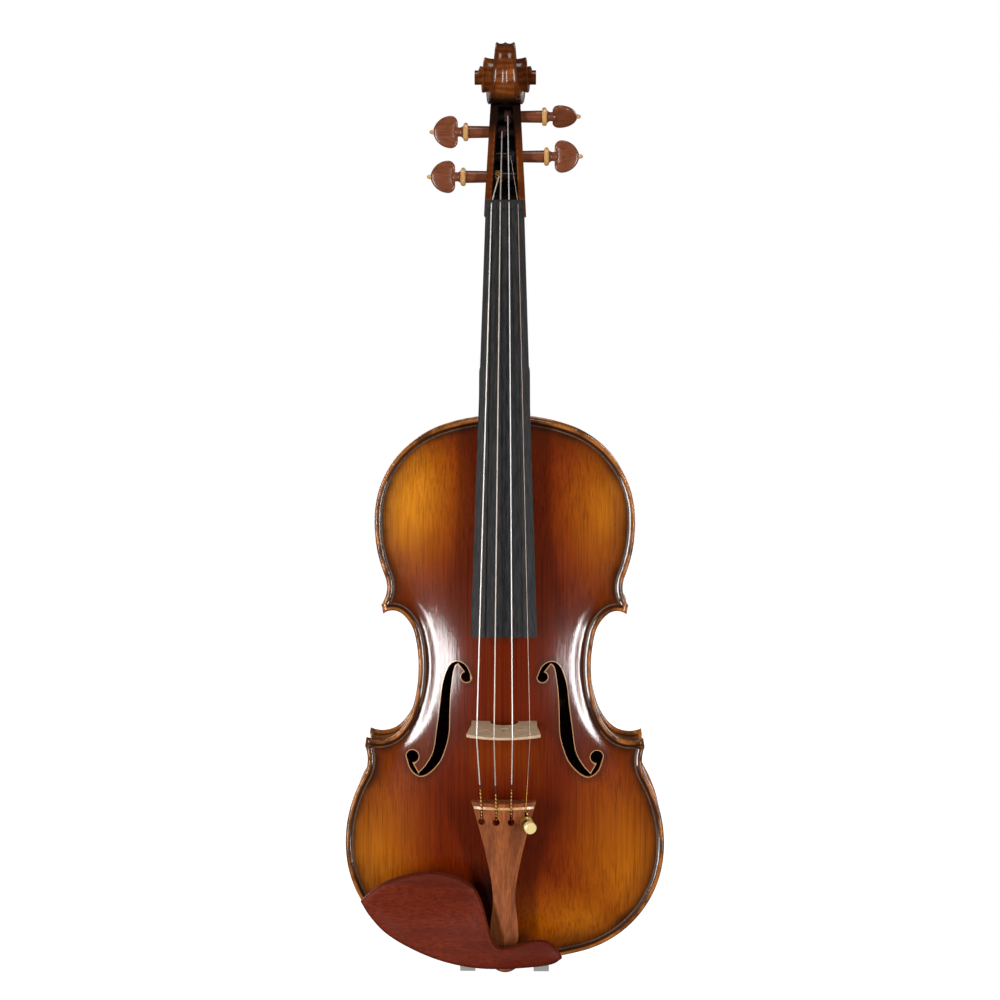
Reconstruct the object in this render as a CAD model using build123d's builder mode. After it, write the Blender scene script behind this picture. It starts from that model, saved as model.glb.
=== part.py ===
"""A full-size violin, built from its separate wooden, ebony, metal and gut pieces.

Frame, millimetres: +X to the treble side, +Z up along the strings, and the belly faces -Y.
The origin is on the centre line, at the body's lower end, half way through the depth of the ribs.
"""
from build123d import *
import os
from math import cos, exp, hypot, log, pi, radians, sin, sqrt, tan

# ---------------------------------------------------------------- body outline and ribs
body_length = 357.0
waist_half_width = 56.0
waist_height = 195.0
lower_bout_height = 76.0
lower_bout_half_width = 104.0
upper_bout_height = 290.0
upper_bout_half_width = 84.3
lower_bout_arcs = [(191.6, 15.5), (71.9, 67.5), (88.6, 36.8), (22.3, -52.3)]
waist_lower_arcs = [(96.7, 17.1), (37.5, 26.0), (18.6, 71.8)]
waist_upper_arcs = [(90.1, -13.1), (24.5, -36.6), (9.9, -78.3)]
upper_bout_arcs = [(129.8, -18.8), (62.5, -66.3), (94.2, -26.5), (19.3, 58.3)]

rib_height = 31.0
rib_thickness = 1.2
edge_overhang = 2.7
edge_thickness = 4.0
lining_width = 2.0
lining_height = 7.0
block_depth = 16.0
block_width = 54.0
corner_block_reach = 20.0
lower_mitre_slope = 0.73
upper_mitre_slope = 0.68

# ---------------------------------------------------------------- arching and inlay
belly_arch = 15.5
back_arch = 14.5
plate_thickness = 3.0
arch_inset = 2.0
hollow_inset = 8.0
arch_sink = 0.8
arch_margin = 8.0
arch_tool_depth = 30.0
purfling_inset = 4.0
purfling_width = 1.3
purfling_depth = 1.6
button_length = 13.0
button_radius = 10.5

# ---------------------------------------------------------------- sound holes (treble side), bar and post
sound_hole_inner_edge = [
    (30.0, 197.8), (32.7, 194.1), (34.9, 179.0), (35.6, 166.0), (36.2, 151.0),
    (39.9, 137.8), (43.6, 131.3), (49.4, 125.5), (55.2, 123.5), (60.8, 127.4), (64.0, 136.1),
]
lower_eye_arc = [(64.0, 136.1), (59.0, 140.1), (59.8, 131.9)]
lower_wing = [(59.8, 131.9), (55.9, 125.2)]
sound_hole_outer_edge = [
    (55.9, 125.2), (50.6, 131.3), (45.9, 140.5), (43.8, 154.6), (41.9, 168.7),
    (40.0, 184.3), (35.9, 195.5), (30.6, 198.9), (24.7, 196.2), (21.2, 188.7),
]
upper_eye_arc = [(21.2, 188.7), (26.0, 185.8), (25.5, 192.3)]
upper_wing = [(25.5, 192.3), (30.0, 197.8)]
bar_offset = 15.5
bar_tilt = 1.2
bar_width = 5.5
bar_height = 11.0
bar_length = 270.0
bar_centre_height = 185.0
post_diameter = 6.2
post_offset = 18.0
post_behind_bridge = 5.0

# ---------------------------------------------------------------- neck, fingerboard and nut
neck_angle = 5.6
neck_overstand = 6.5
neck_length = 133.0
neck_depth_low = 13.5
neck_depth_high = 11.5
mortise_depth = 6.0
heel_width_front = 33.0
heel_width_back = 20.0
fingerboard_length = 274.0
fingerboard_width_low = 42.4
fingerboard_width_high = 24.6
fingerboard_edge = 4.6
fingerboard_radius = 42.0
scoop_depth = 3.6
scoop_rim = 4.0
nut_length = 5.2
nut_step = 0.6

# ---------------------------------------------------------------- pegbox and scroll
pegbox_width_low = 26.0
pegbox_width_high = 19.4
pegbox_top = 557.0
pegbox_wall = 5.0
pegbox_front_low = -12.9
pegbox_front_high = 3.4
pegbox_back_low = 12.6
chin_drop = 9.0
pegbox_back_high = 20.6
mortise_low = 498.0
mortise_high = 556.8
mortise_floor = 5.0
mortise_rise = 1.0
eye_height = 574.7
eye_depth = 1.5
scroll_radius = 22.7
scroll_inner_radius = 13.0
scroll_start = -45
scroll_end = 900
scroll_step = 22.5
scroll_top_half_width = 6.2
scroll_cone_half_width = 13.0
scroll_inner_half_width = 17.6
eye_radius = 4.6
eye_half_width = 19.8
flute_depth = 1.1
scroll_chamfer = 0.8

# ---------------------------------------------------------------- strings and pegs, bass to treble
string_names = ["g", "d", "a", "e"]
string_diameters = [0.80, 0.80, 0.70, 0.40]
bridge_spread = [-16.9, -5.8, 5.8, 16.9]
nut_spread = [-8.5, -2.8, 2.8, 8.5]
tail_spread = [-14.2, -4.8, 4.8, 14.2]
name_of_tuned_string = "e"
peg_heights = [511.3, 540.5, 550.4, 524.4]
peg_sides = [-1, -1, 1, 1]
peg_turns = [90, 90, -33, 90]
string_rest_gap = 0.45
winding_places = [-4.2, -2.2, 1.5, 3.5]
winding_length = 4.4
winding_thickness = 0.6
peg_depth_low = 2.5
peg_depth_slope = 0.165
peg_taper = 1 / 30
peg_shaft_radius = 4.0
peg_hole_clearance = 0.05
peg_stand_off = 13.6
peg_tip_reach = 1.0
collar_radius = 5.9
collar_length = 3.2
collar_bore = 3.4
peg_neck_length = 3.6
peg_neck_radius = 2.9
peg_head_length = 15.63
peg_head_thickness = 5.0
pip_radius = 1.5
peg_shoulder = 7.2
peg_lobe_radius = 3.05
peg_lobe_sweep = 107.0
peg_flank_radius = 22.4
peg_flank_sweep = 37.5
peg_bevel = 1.2
collar_bevel = 0.8
pip_length = 2.8
string_gap = 0.3
string_end_drop = 5.2
loop_end_drop = 0.8
loop_end_gap = 0.7

# ---------------------------------------------------------------- bridge
bridge_height_on_body = 159.0
bridge_height = 32.0
bridge_lean = 2.3
bridge_sink = 2.4
bridge_foot_span = 42.0
bridge_foot_length = 12.0
bridge_foot_thickness = 4.4
bridge_top_thickness = 1.4
bridge_top_span = 47.0
bridge_crown_radius = 42.0
heart_radius = 3.0
kidney_length = 10.0
kidney_width = 5.4
notch_depth = 0.3

# ---------------------------------------------------------------- tailpiece, saddle, gut and end button
tail_low = 12.0
tail_high = 113.5
tail_width_high = 41.6
tail_width_waist = 14.2
tail_width_heel = 18.4
tail_waist = 50.0
tail_heel = 21.0
tail_outline_steps = 7
tail_edge = 3.4
tail_ridge = 4.0
tail_wall = 2.6
tail_depth_low = -28.4
tail_depth_high = -43.4
tail_fret_height = 108.0
tail_fret_width = 1.6
tail_fret_step = 0.9
keyhole_height = 98.7
keyhole_radius = 2.3
keyhole_slot = 1.7
keyhole_slot_top = 106.8
tuner_hole_radius = 3.3
saddle_width = 35.0
saddle_depth = 6.5
saddle_height = 4.6
gut_diameter = 1.8
gut_half_spacing = 4.4
gut_drop = 2.2
button_shank_radius = 3.5
button_shank_length = 14.0
button_neck_length = 4.2
knob_radius = 7.0
knob_length = 6.0
knob_dome = 2.5

# ---------------------------------------------------------------- fine tuner on the E string
tuner_lean = 17.0
tuner_tilt = 12.0
tuner_tube_radius = 2.7
tuner_bore_radius = 1.15
tuner_screw_radius = 1.0
tuner_foot = 7.6
tuner_head = 4.6
tuner_ring_radius = 4.2
tuner_ring_bore = 2.75
tuner_ring_low = 0.3
tuner_ring_thickness = 1.5
tuner_knob_radius = 3.85
tuner_knob_length = 4.2
tuner_knob_gap = 2.4
knob_clearance = 0.03
tuner_lug_width = 4.2
tuner_lug_thickness = 2.6
tuner_lug_end = 1.5
lever_thickness = 1.0
lever_toe = 1.6
lever_hook = 1.6
lever_gap = 0.15
lever_pivot = 6.0
lever_pin_radius = 0.55
pivot_drop = 6.3

# ---------------------------------------------------------------- chinrest and its clamp
chinrest_upper_edge = [
    (37.4, 9.3), (32.0, 17.2), (24.0, 20.1), (15.0, 18.9), (6.0, 16.4), (-1.2, 15.2),
    (-6.9, 19.8), (-10.4, 30.5), (-13.5, 42.5), (-18.0, 52.8), (-25.0, 58.9), (-36.0, 63.2),
    (-50.0, 64.3), (-66.0, 61.6), (-81.0, 55.4), (-92.0, 46.1),
]
chinrest_lower_edge = [
    (-92.0, 46.1), (-86.0, 36.4), (-76.0, 25.6), (-61.0, 16.2), (-42.0, 8.1), (-22.0, 3.5),
    (-1.6, 2.2), (17.0, 3.2), (31.0, 5.4), (37.4, 9.3),
]
chinrest_top = -47.5
chinrest_under = -39.5
dish_radius = 80.0
dish_centre = (-50.0, 37.0)
dish_depth = 5.0
chinrest_round = 1.6
cork_thickness = 2.0
foot_inner = 19.0
foot_left = 46.0
foot_right = 35.0
foot_high = 8.0
clamp_spacing = 24.0
clamp_offset = 3.6
clamp_plate_width = 10.0
clamp_plate_thickness = 1.6
clamp_rod_radius = 1.3
clamp_rod_length = 20.0
clamp_barrel_radius = 2.7
clamp_barrel_length = 24.0
clamp_key_hole_radius = 0.8
clamp_bore_clearance = 0.1

front_seat = -rib_height / 2
back_seat = rib_height / 2
front_face = front_seat - edge_thickness
back_face = back_seat + edge_thickness
belly_crest = front_seat - belly_arch
bridge_crown = belly_crest - bridge_height
bridge_crown_height = (
    bridge_height_on_body - bridge_foot_thickness / 2 - bridge_lean + bridge_top_thickness / 2
)
neck_top = front_face - neck_overstand
neck_plane = Plane(
    origin=(0, neck_top, body_length),
    x_dir=(1, 0, 0),
    z_dir=(0, -cos(radians(neck_angle)), sin(radians(neck_angle))),
)


def seen_from_front(depth):
    """The drawing plane at a depth y: local x is +X, local y is +Z, and it faces the front."""
    return Plane(origin=(0, depth, 0), x_dir=(1, 0, 0), z_dir=(0, -1, 0))


def seen_from_side(x):
    """The drawing plane at a place x: local x is +Y (to the back), and local y is +Z."""
    return Plane(origin=(x, 0, 0), x_dir=(0, 1, 0), z_dir=(1, 0, 0))


def across_neck(distance):
    """The plane across the neck at a distance from the body: local y points to the front."""
    return Plane(
        origin=neck_plane.from_local_coords(Vector(0, distance, 0)),
        x_dir=(-1, 0, 0),
        z_dir=neck_plane.y_dir,
    )


def save(piece, name):
    """Label a finished piece and write it as its own STEP file."""
    piece.part.label = name
    export_step(piece.part, f"parts/{name}.step")


def bend(start, heading, arcs):
    """Chain tangent arcs from a start point; each arc is (radius, signed sweep in degrees)."""
    point, tangent = Vector(*start), Vector(*heading)
    for radius, sweep_angle in arcs:
        arc = JernArc(start=point, tangent=tangent, radius=radius, arc_size=sweep_angle)
        point, tangent = arc @ 1, arc % 1
    return point


def outline(inset=0.0):
    """The body's outline, drawn from four arc chains a side, moved inwards by inset."""
    with BuildSketch() as shape:
        with BuildLine():
            lower_end = bend((0, 0), (1, 0), lower_bout_arcs)
            waist_low = bend((waist_half_width, waist_height), (0, -1), waist_lower_arcs)
            waist_high = bend((waist_half_width, waist_height), (0, 1), waist_upper_arcs)
            upper_end = bend((0, body_length), (1, 0), upper_bout_arcs)
            Line(lower_end, waist_low)
            Line(waist_high, upper_end)
            mirror(about=Plane.YZ)
        make_face()
        if inset:
            offset(amount=-inset, kind=Kind.INTERSECTION)
    return shape.sketch


def arching_half_width(z, inset):
    """Half width of the arched area at a height z: full bouts, and a smooth waist between them."""
    if z < lower_bout_height:
        full, reach = lower_bout_half_width, (lower_bout_height - z) / lower_bout_height
        width = full * sqrt(max(0.0, 1 - reach**2.6))
    elif z > upper_bout_height:
        full, reach = upper_bout_half_width, (z - upper_bout_height) / (body_length - upper_bout_height)
        width = full * sqrt(max(0.0, 1 - reach**2.6))
    elif z < waist_height:
        blend = (1 + cos(pi * (z - lower_bout_height) / (waist_height - lower_bout_height))) / 2
        width = waist_half_width + (lower_bout_half_width - waist_half_width) * blend
    else:
        blend = (1 + cos(pi * (upper_bout_height - z) / (upper_bout_height - waist_height))) / 2
        width = waist_half_width + (upper_bout_half_width - waist_half_width) * blend
    return max(width - inset, 1.0)


def arch_rise(x, z, rise, side_inset, end_inset):
    """Height of an arch over its flat edge: full across the middle, easing out at the edge."""
    along = min(1.0, abs(z - body_length / 2) / (body_length / 2 - end_inset))
    across = min(1.0, abs(x) / arching_half_width(z, side_inset))
    return rise * (1 - along**3.2) ** 1.3 * (1 - across**2) ** 1.5


def arch_surface(flat_level, side, rise, side_inset, end_inset):
    """A smooth face over the arch, sunk by arch_sink below its flat level round the edge."""
    half_span = lower_bout_half_width + arch_margin
    half_length = body_length / 2
    rows = [half_length + (half_length + arch_margin) * step / 14 for step in range(-14, 15)]
    columns = [half_span * step / 10 for step in range(-10, 11)]
    grid = []
    for z in rows:
        rises = [arch_rise(x, z, rise + arch_sink, side_inset, end_inset) for x in columns]
        depths = [flat_level + side * (height - arch_sink) for height in rises]
        grid.append([Vector(x, depth, z) for x, depth in zip(columns, depths)])
    return Face.make_surface_from_array_of_points(grid, tol=0.02, min_deg=3, max_deg=3)


def arched_plate(side, arch):
    """One carved plate: a flat slab with the outline, the arched dome on it, and a hollow inside."""
    seat = side * rib_height / 2
    flat_level = seat + side * edge_thickness
    outer_face = arch_surface(flat_level, side, arch - edge_thickness, arch_inset, arch_inset)
    inner_face = arch_surface(seat, side, arch - plate_thickness, hollow_inset, block_depth)
    with BuildPart() as dome:
        with BuildSketch(seen_from_front(seat + side * 1.0)):
            add(outline(edge_overhang))
        extrude(amount=-side * arch_tool_depth)
        split(bisect_by=outer_face, keep=Keep.TOP if side < 0 else Keep.BOTTOM)
    with BuildPart() as hollow:
        with BuildSketch(seen_from_front(seat - side * 20.0)):
            add(outline(hollow_inset))
        extrude(amount=-side * (20.0 + arch_tool_depth))
        split(bisect_by=inner_face, keep=Keep.TOP if side < 0 else Keep.BOTTOM)
    with BuildPart() as plate:
        with BuildSketch(seen_from_front(seat)):
            add(outline())
        extrude(amount=-side * edge_thickness)
        add(dome.part)
        add(hollow.part, mode=Mode.SUBTRACT)
    return plate, hollow


# ================================================================ neck, pegbox and scroll
def neck_section(distance, width, depth):
    """The half-round neck section under the fingerboard."""
    with BuildSketch(across_neck(distance)) as section:
        with BuildLine():
            Line((-width / 2, 0), (width / 2, 0))
            EllipticalCenterArc((0, 0), width / 2, depth, start_angle=180, arc_size=180)
        make_face()
    return section.sketch


def fingerboard_width(distance):
    """Width of the fingerboard and of the neck under it, at a distance from the body."""
    share = (neck_length - distance) / fingerboard_length
    return fingerboard_width_high + (fingerboard_width_low - fingerboard_width_high) * share


def heel_section(depth, width, top):
    """The heel cut across at a depth y: straight sides out of the mortise and a rounded end."""
    with BuildSketch(seen_from_front(depth)) as section:
        with BuildLine():
            low = body_length - mortise_depth
            shoulder = top - width * 0.45
            Line((-width / 2, low), (width / 2, low))
            Line((width / 2, low), (width / 2, shoulder))
            EllipticalCenterArc((0, shoulder), width / 2, top - shoulder, start_angle=0, arc_size=180)
            Line((-width / 2, shoulder), (-width / 2, low))
        make_face()
    return section.sketch


def spiral_radius(angle):
    """Outer radius of the scroll, measured from the back (0) over the top (90) and round."""
    shrink = log(scroll_radius / scroll_inner_radius) / 360
    if angle < 90:
        return scroll_radius + 1.8 * (90 - angle) / 90
    return scroll_radius * exp(-shrink * (angle - 90))


def spiral_half_width(angle):
    """Half width of the scroll: narrowest over the top, then widening turn by turn to the eye."""
    if angle < 90:
        widest = pegbox_width_high / 2
        return scroll_top_half_width + (widest - scroll_top_half_width) * ((90 - angle) / 135) ** 1.5
    if angle < 360:
        blend = (1 - cos(pi * (angle - 90) / 270)) / 2
        return scroll_top_half_width + (scroll_cone_half_width - scroll_top_half_width) * blend
    share = (angle - 360) / (scroll_end - 360)
    return scroll_cone_half_width + (scroll_inner_half_width - scroll_cone_half_width) * share


def fluted_section(outer, inner, half_width):
    """A section of the scroll from its outer edge in: two flutes with a ridge between them."""
    outward = (outer - inner).normalized()
    depth = (outer - inner).length
    plane = Plane(origin=outer, x_dir=(1, 0, 0), z_dir=Vector(1, 0, 0).cross(outward))
    shoulder = half_width - scroll_chamfer
    with BuildSketch(plane) as section:
        with BuildLine():
            ThreePointArc((0, 0), (shoulder / 2, -flute_depth), (shoulder, 0))
            Polyline(
                (shoulder, 0),
                (half_width, -scroll_chamfer),
                (half_width, -depth),
                (-half_width, -depth),
                (-half_width, -scroll_chamfer),
                (-shoulder, 0),
            )
            ThreePointArc((-shoulder, 0), (-shoulder / 2, -flute_depth), (0, 0))
        make_face()
    return section.sketch


def scroll_section(angle):
    """The scroll's section at an angle round the eye, reaching in to the next turn."""
    direction = Vector(0, cos(radians(angle)), sin(radians(angle)))
    eye = Vector(0, eye_depth, eye_height)
    inner_radius = max(spiral_radius(angle + 360) - 1.0, 0.6)
    return fluted_section(
        eye + direction * spiral_radius(angle),
        eye + direction * inner_radius,
        spiral_half_width(angle),
    )


nut_end = neck_plane.from_local_coords(Vector(0, neck_length + nut_length, 0))
pegbox_low = nut_end.Z
throat = Vector(0, cos(radians(scroll_start)), sin(radians(scroll_start)))
throat_back = Vector(0, eye_depth, eye_height) + throat * spiral_radius(scroll_start)
throat_inner = Vector(0, eye_depth, eye_height) + throat * (spiral_radius(scroll_start + 360) - 1.0)


def pegbox_share(z):
    """How far up the pegbox a height is, from 0 at the nut to 1 at the throat."""
    return (z - pegbox_low) / (pegbox_top - pegbox_low)


def pegbox_width(z):
    """Outer width of the pegbox at a height."""
    return pegbox_width_low + (pegbox_width_high - pegbox_width_low) * pegbox_share(z)


def pegbox_front(z):
    """Depth y of the pegbox's front edge at a height."""
    return pegbox_front_low + (pegbox_front_high - pegbox_front_low) * pegbox_share(z)


def peg_depth(z):
    """Depth y of a peg's axis at a height."""
    return peg_depth_low + peg_depth_slope * (z - peg_heights[0])


def pegbox_taper(inset, low, high):
    """The tapered front view of the pegbox, moved inwards, between two heights."""
    with BuildSketch(seen_from_front(60)) as shape:
        with BuildLine():
            low_half = pegbox_width(low) / 2 - inset
            high_half = pegbox_width(high) / 2 - inset
            Polyline((-low_half, low), (low_half, low), (high_half, high), (-high_half, high), close=True)
        make_face()
    return shape.sketch


def wall_face(height):
    """Distance from the centre line to the pegbox's outer wall at a peg's height."""
    return pegbox_width(height) / 2


def peg_radius(height, reach):
    """Radius of a peg's tapered shaft, at a reach inwards from its collar."""
    return peg_shaft_radius - peg_taper / 2 * reach


def peg_plane(side, height):
    """The plane of a peg's axis: local x runs out along the axis to the head, local y to the back."""
    return Plane(
        origin=(side * (wall_face(height) + peg_stand_off), peg_depth(height), height),
        x_dir=(side, 0, 0),
        z_dir=(0, 0, side),
    )


def peg_bore(side, height, clearance):
    """The tapered bore for a peg, through both pegbox walls."""
    length = peg_stand_off + 2 * wall_face(height) + 10
    with BuildPart() as bore:
        with BuildSketch(peg_plane(side, height)):
            with BuildLine():
                Polyline(
                    (0, 0),
                    (0, peg_radius(height, 0) + clearance),
                    (-length, peg_radius(height, length) + clearance),
                    (-length, 0),
                    close=True,
                )
            make_face()
        revolve(axis=Axis((0, peg_depth(height), height), (1, 0, 0)))
    return bore.part


with BuildPart() as pegbox_mortise:
    with BuildSketch(seen_from_side(-20)):
        with BuildLine():
            Polyline((-40, mortise_low), (pegbox_back_low - mortise_floor, mortise_low))
            Line(
                (pegbox_back_low - mortise_floor, mortise_low),
                (pegbox_back_high - mortise_floor - mortise_rise, mortise_high - 1.0),
            )
            Polyline(
                (pegbox_back_high - mortise_floor - mortise_rise, mortise_high - 1.0),
                (pegbox_front(mortise_high), mortise_high),
                (-40, mortise_high),
                (-40, mortise_low),
            )
        make_face()
    extrude(amount=40)
    hollow_view = pegbox_taper(pegbox_wall, mortise_low - 5, mortise_high + 5)
    add(extrude(hollow_view, amount=120, mode=Mode.PRIVATE), mode=Mode.INTERSECT)

with BuildPart() as pegbox:
    with BuildSketch(seen_from_side(-20)):
        with BuildLine():
            chin_height = pegbox_low - chin_drop
            neck_face = neck_top + (chin_height - body_length) * tan(radians(neck_angle))
            chin = (pegbox_back_low - 3.4, chin_height)
            Polyline(
                chin,
                (neck_face + 1.0, chin_height),
                (nut_end.Y, pegbox_low),
                (pegbox_front_high, pegbox_top),
                (throat_inner.Y, throat_inner.Z),
                (throat_back.Y, throat_back.Z),
            )
            Spline(
                (throat_back.Y, throat_back.Z),
                (pegbox_back_low + 3.6, pegbox_low + 28.0),
                (pegbox_back_low, pegbox_low + 4.0),
                chin,
            )
        make_face()
    extrude(amount=40)
    front_view = pegbox_taper(0, pegbox_low - 12, pegbox_top + 12)
    add(extrude(front_view, amount=120, mode=Mode.PRIVATE), mode=Mode.INTERSECT)

scroll_spans = []
for span in range(int((scroll_end - scroll_start) / (4 * scroll_step)) + 1):
    first = scroll_start + span * 4 * scroll_step
    if first < scroll_end:
        angles = [min(first + step * scroll_step, scroll_end) for step in range(5)]
        with BuildPart() as scroll_span:
            loft([scroll_section(angle) for angle in sorted(set(angles))])
        scroll_spans.append(scroll_span.part)

with BuildPart() as neck:
    loft([
        neck_section(-mortise_depth, fingerboard_width(-mortise_depth), neck_depth_low),
        neck_section(neck_length + nut_length, fingerboard_width(neck_length), neck_depth_high),
    ])
    loft([
        heel_section(neck_top - 1.0, heel_width_front, body_length + 42),
        heel_section(neck_top + 8.0, heel_width_front - 2.0, body_length + 37),
        heel_section(front_face + 6.0, heel_width_front - 4.5, body_length + 24),
        heel_section(0, heel_width_back + 5.0, body_length + 15.5),
        heel_section(back_seat, heel_width_back, body_length + button_length - 0.5),
    ])
    split(bisect_by=neck_plane, keep=Keep.BOTTOM)
    add(pegbox.part)
    for scroll_span in scroll_spans:
        add(scroll_span)
    with Locations(Plane(origin=(0, eye_depth, eye_height), x_dir=(0, 1, 0), z_dir=(1, 0, 0))):
        Cylinder(eye_radius, 2 * eye_half_width)
    add(pegbox_mortise.part, mode=Mode.SUBTRACT)
    for side, height in zip(peg_sides, peg_heights):
        add(peg_bore(side, height, peg_hole_clearance), mode=Mode.SUBTRACT)


# ================================================================ fingerboard and nut
def fingerboard_section(distance, edge):
    """The fingerboard's section: flat below, straight edges and an arched top."""
    half = fingerboard_width(distance) / 2
    sagitta = fingerboard_radius - sqrt(fingerboard_radius**2 - half**2)
    with BuildSketch(across_neck(distance)) as section:
        with BuildLine():
            Polyline((-half, edge), (-half, 0), (half, 0), (half, edge))
            ThreePointArc((half, edge), (0, edge + sagitta), (-half, edge))
        make_face()
    return section.sketch


def scoop_section(distance, width, depth):
    """The hollow under the free end of the fingerboard."""
    with BuildSketch(across_neck(distance)) as section:
        with BuildLine():
            Polyline((width / 2, -0.01), (width / 2, -1), (-width / 2, -1), (-width / 2, -0.01))
            ThreePointArc((-width / 2, -0.01), (0, depth), (width / 2, -0.01))
        make_face()
    return section.sketch


fingerboard_low = neck_length - fingerboard_length
with BuildPart() as fingerboard:
    loft([
        fingerboard_section(fingerboard_low, fingerboard_edge),
        fingerboard_section(neck_length, fingerboard_edge),
    ])
    loft(
        [
            scoop_section(fingerboard_low - 1, fingerboard_width_low - 2 * scoop_rim, scoop_depth),
            scoop_section(-mortise_depth - 6, fingerboard_width_low - 4 * scoop_rim, 0.6),
        ],
        mode=Mode.SUBTRACT,
    )

with BuildPart() as nut_blank:
    extrude(fingerboard_section(neck_length, fingerboard_edge + nut_step), amount=nut_length)


# ================================================================ plates
def extruded(sketch_face, depth_from, depth_to):
    """A solid with a front-view outline, between two depths y."""
    with BuildPart() as solid:
        with BuildSketch(seen_from_front(depth_to)):
            add(sketch_face)
        extrude(amount=depth_to - depth_from)
    return solid.part


def ring(outer_inset, inner_inset, depth_from, depth_to):
    """A solid band that follows the body's outline, between two insets and two depths."""
    with BuildPart() as band:
        add(extruded(outline(outer_inset), depth_from, depth_to))
        add(extruded(outline(inner_inset), depth_from, depth_to), mode=Mode.SUBTRACT)
    return band.part


def sound_hole(side):
    """One f-hole: two round eyes joined by a curved stem, with the pointed wings between them."""
    with BuildSketch() as hole:
        with BuildLine():
            Spline([(side * x, z) for x, z in sound_hole_inner_edge])
            ThreePointArc(*[(side * x, z) for x, z in lower_eye_arc])
            Polyline([(side * x, z) for x, z in lower_wing])
            Spline([(side * x, z) for x, z in sound_hole_outer_edge])
            ThreePointArc(*[(side * x, z) for x, z in upper_eye_arc])
            Polyline([(side * x, z) for x, z in upper_wing])
        make_face()
    return hole.sketch


def saddle_seat():
    """The notch for the saddle, cut down to the end block's face."""
    with BuildPart() as seat:
        with Locations((0, front_seat - saddle_height / 2 - 5, saddle_depth / 2 - 5)):
            Box(saddle_width, saddle_height + 10, saddle_depth + 10)
    return seat.part


belly_blank, belly_hollow = arched_plate(-1, belly_arch)
back_blank, back_hollow = arched_plate(1, back_arch)
purfling_ends = (purfling_inset, purfling_inset + purfling_width)
belly_groove = ring(*purfling_ends, front_face - 1, front_face + purfling_depth)
back_groove = ring(*purfling_ends, back_face - purfling_depth, back_face + 1)

with BuildPart() as top_plate:
    add(belly_blank.part)
    add(belly_groove, mode=Mode.SUBTRACT)
    for side in (-1, 1):
        add(extruded(sound_hole(side), -60, front_seat + 5), mode=Mode.SUBTRACT)
    add(saddle_seat(), mode=Mode.SUBTRACT)
    add(neck.part, mode=Mode.SUBTRACT)

with BuildPart() as back_plate:
    add(back_blank.part)
    with BuildSketch(seen_from_front(back_face)):
        with Locations((0, body_length + button_length - button_radius)):
            Circle(button_radius)
        with Locations((0, body_length - 1)):
            Rectangle(2 * button_radius, button_length - button_radius + 1, align=(Align.CENTER, Align.MIN))
    extrude(amount=edge_thickness)
    add(back_groove, mode=Mode.SUBTRACT)

with BuildPart() as purfling_front:
    add(ring(*purfling_ends, front_face, front_face + purfling_depth))
    add(saddle_seat(), mode=Mode.SUBTRACT)
    add(neck.part, mode=Mode.SUBTRACT)

with BuildPart() as purfling_back:
    add(ring(*purfling_ends, back_face - purfling_depth, back_face))


# ================================================================ ribs, linings and blocks
rib_inside = edge_overhang + rib_thickness
lower_corner = (bend((0, 0), (1, 0), lower_bout_arcs)
                + bend((waist_half_width, waist_height), (0, -1), waist_lower_arcs)) / 2
upper_corner = (bend((waist_half_width, waist_height), (0, 1), waist_upper_arcs)
                + bend((0, body_length), (1, 0), upper_bout_arcs)) / 2
rib_reach = lower_bout_half_width + 30
rib_core = waist_half_width - 20


def lower_mitre(x):
    """Height of the lower corner's mitre line at a half width x."""
    return lower_corner.Y + lower_mitre_slope * (x - lower_corner.X)


def upper_mitre(x):
    """Height of the upper corner's mitre line at a half width x."""
    return upper_corner.Y - upper_mitre_slope * (x - upper_corner.X)


def plan_region(side, points):
    """A tall solid over a plan polygon, on one side of the centre line."""
    with BuildSketch() as region:
        with BuildLine():
            Polyline([(side * x, z) for x, z in points], close=True)
        make_face()
    return extruded(region.sketch, -60, 60)


rib_regions = {
    "lower": [(0, -20), (rib_reach, -20), (rib_reach, lower_mitre(rib_reach)),
              (rib_core, lower_mitre(rib_core)), (0, lower_mitre(rib_core))],
    "waist": [(rib_core, lower_mitre(rib_core)), (rib_reach, lower_mitre(rib_reach)),
              (rib_reach, upper_mitre(rib_reach)), (rib_core, upper_mitre(rib_core))],
    "upper": [(0, upper_mitre(rib_core)), (rib_core, upper_mitre(rib_core)),
              (rib_reach, upper_mitre(rib_reach)), (rib_reach, body_length + 20), (0, body_length + 20)],
}
rib_band = ring(edge_overhang, rib_inside, front_seat, back_seat)
ribs = {}
for place, region in rib_regions.items():
    for side, side_name in ((-1, "bass"), (1, "treble")):
        with BuildPart() as rib:
            add(rib_band)
            add(plan_region(side, region), mode=Mode.INTERSECT)
            if place == "upper":
                add(neck.part, mode=Mode.SUBTRACT)
            if place == "lower":
                with Locations(Plane.XY):
                    Cylinder(button_shank_radius, 40, mode=Mode.SUBTRACT)
        ribs[f"rib_{place}_{side_name}"] = rib


def corner_block_plan(corner, way):
    """Plan of a corner block, from its tip down the bout (way is 1 for up or -1 for down)."""
    x, z, reach = corner.X, corner.Y, corner_block_reach
    return [(x + 6, z - way * 4), (x + 8, z + way * reach), (x - 0.45 * reach, z + way * reach),
            (x - 1.25 * reach, z - way * 0.1 * reach), (x - 1.1 * reach, z - way * 0.6 * reach)]


body_core = extruded(outline(rib_inside), front_seat, back_seat)
with BuildPart() as corner_blocks:
    for corner, way in ((lower_corner, -1), (upper_corner, 1)):
        for side in (-1, 1):
            add(plan_region(side, corner_block_plan(corner, way)))
    add(body_core, mode=Mode.INTERSECT)

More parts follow.
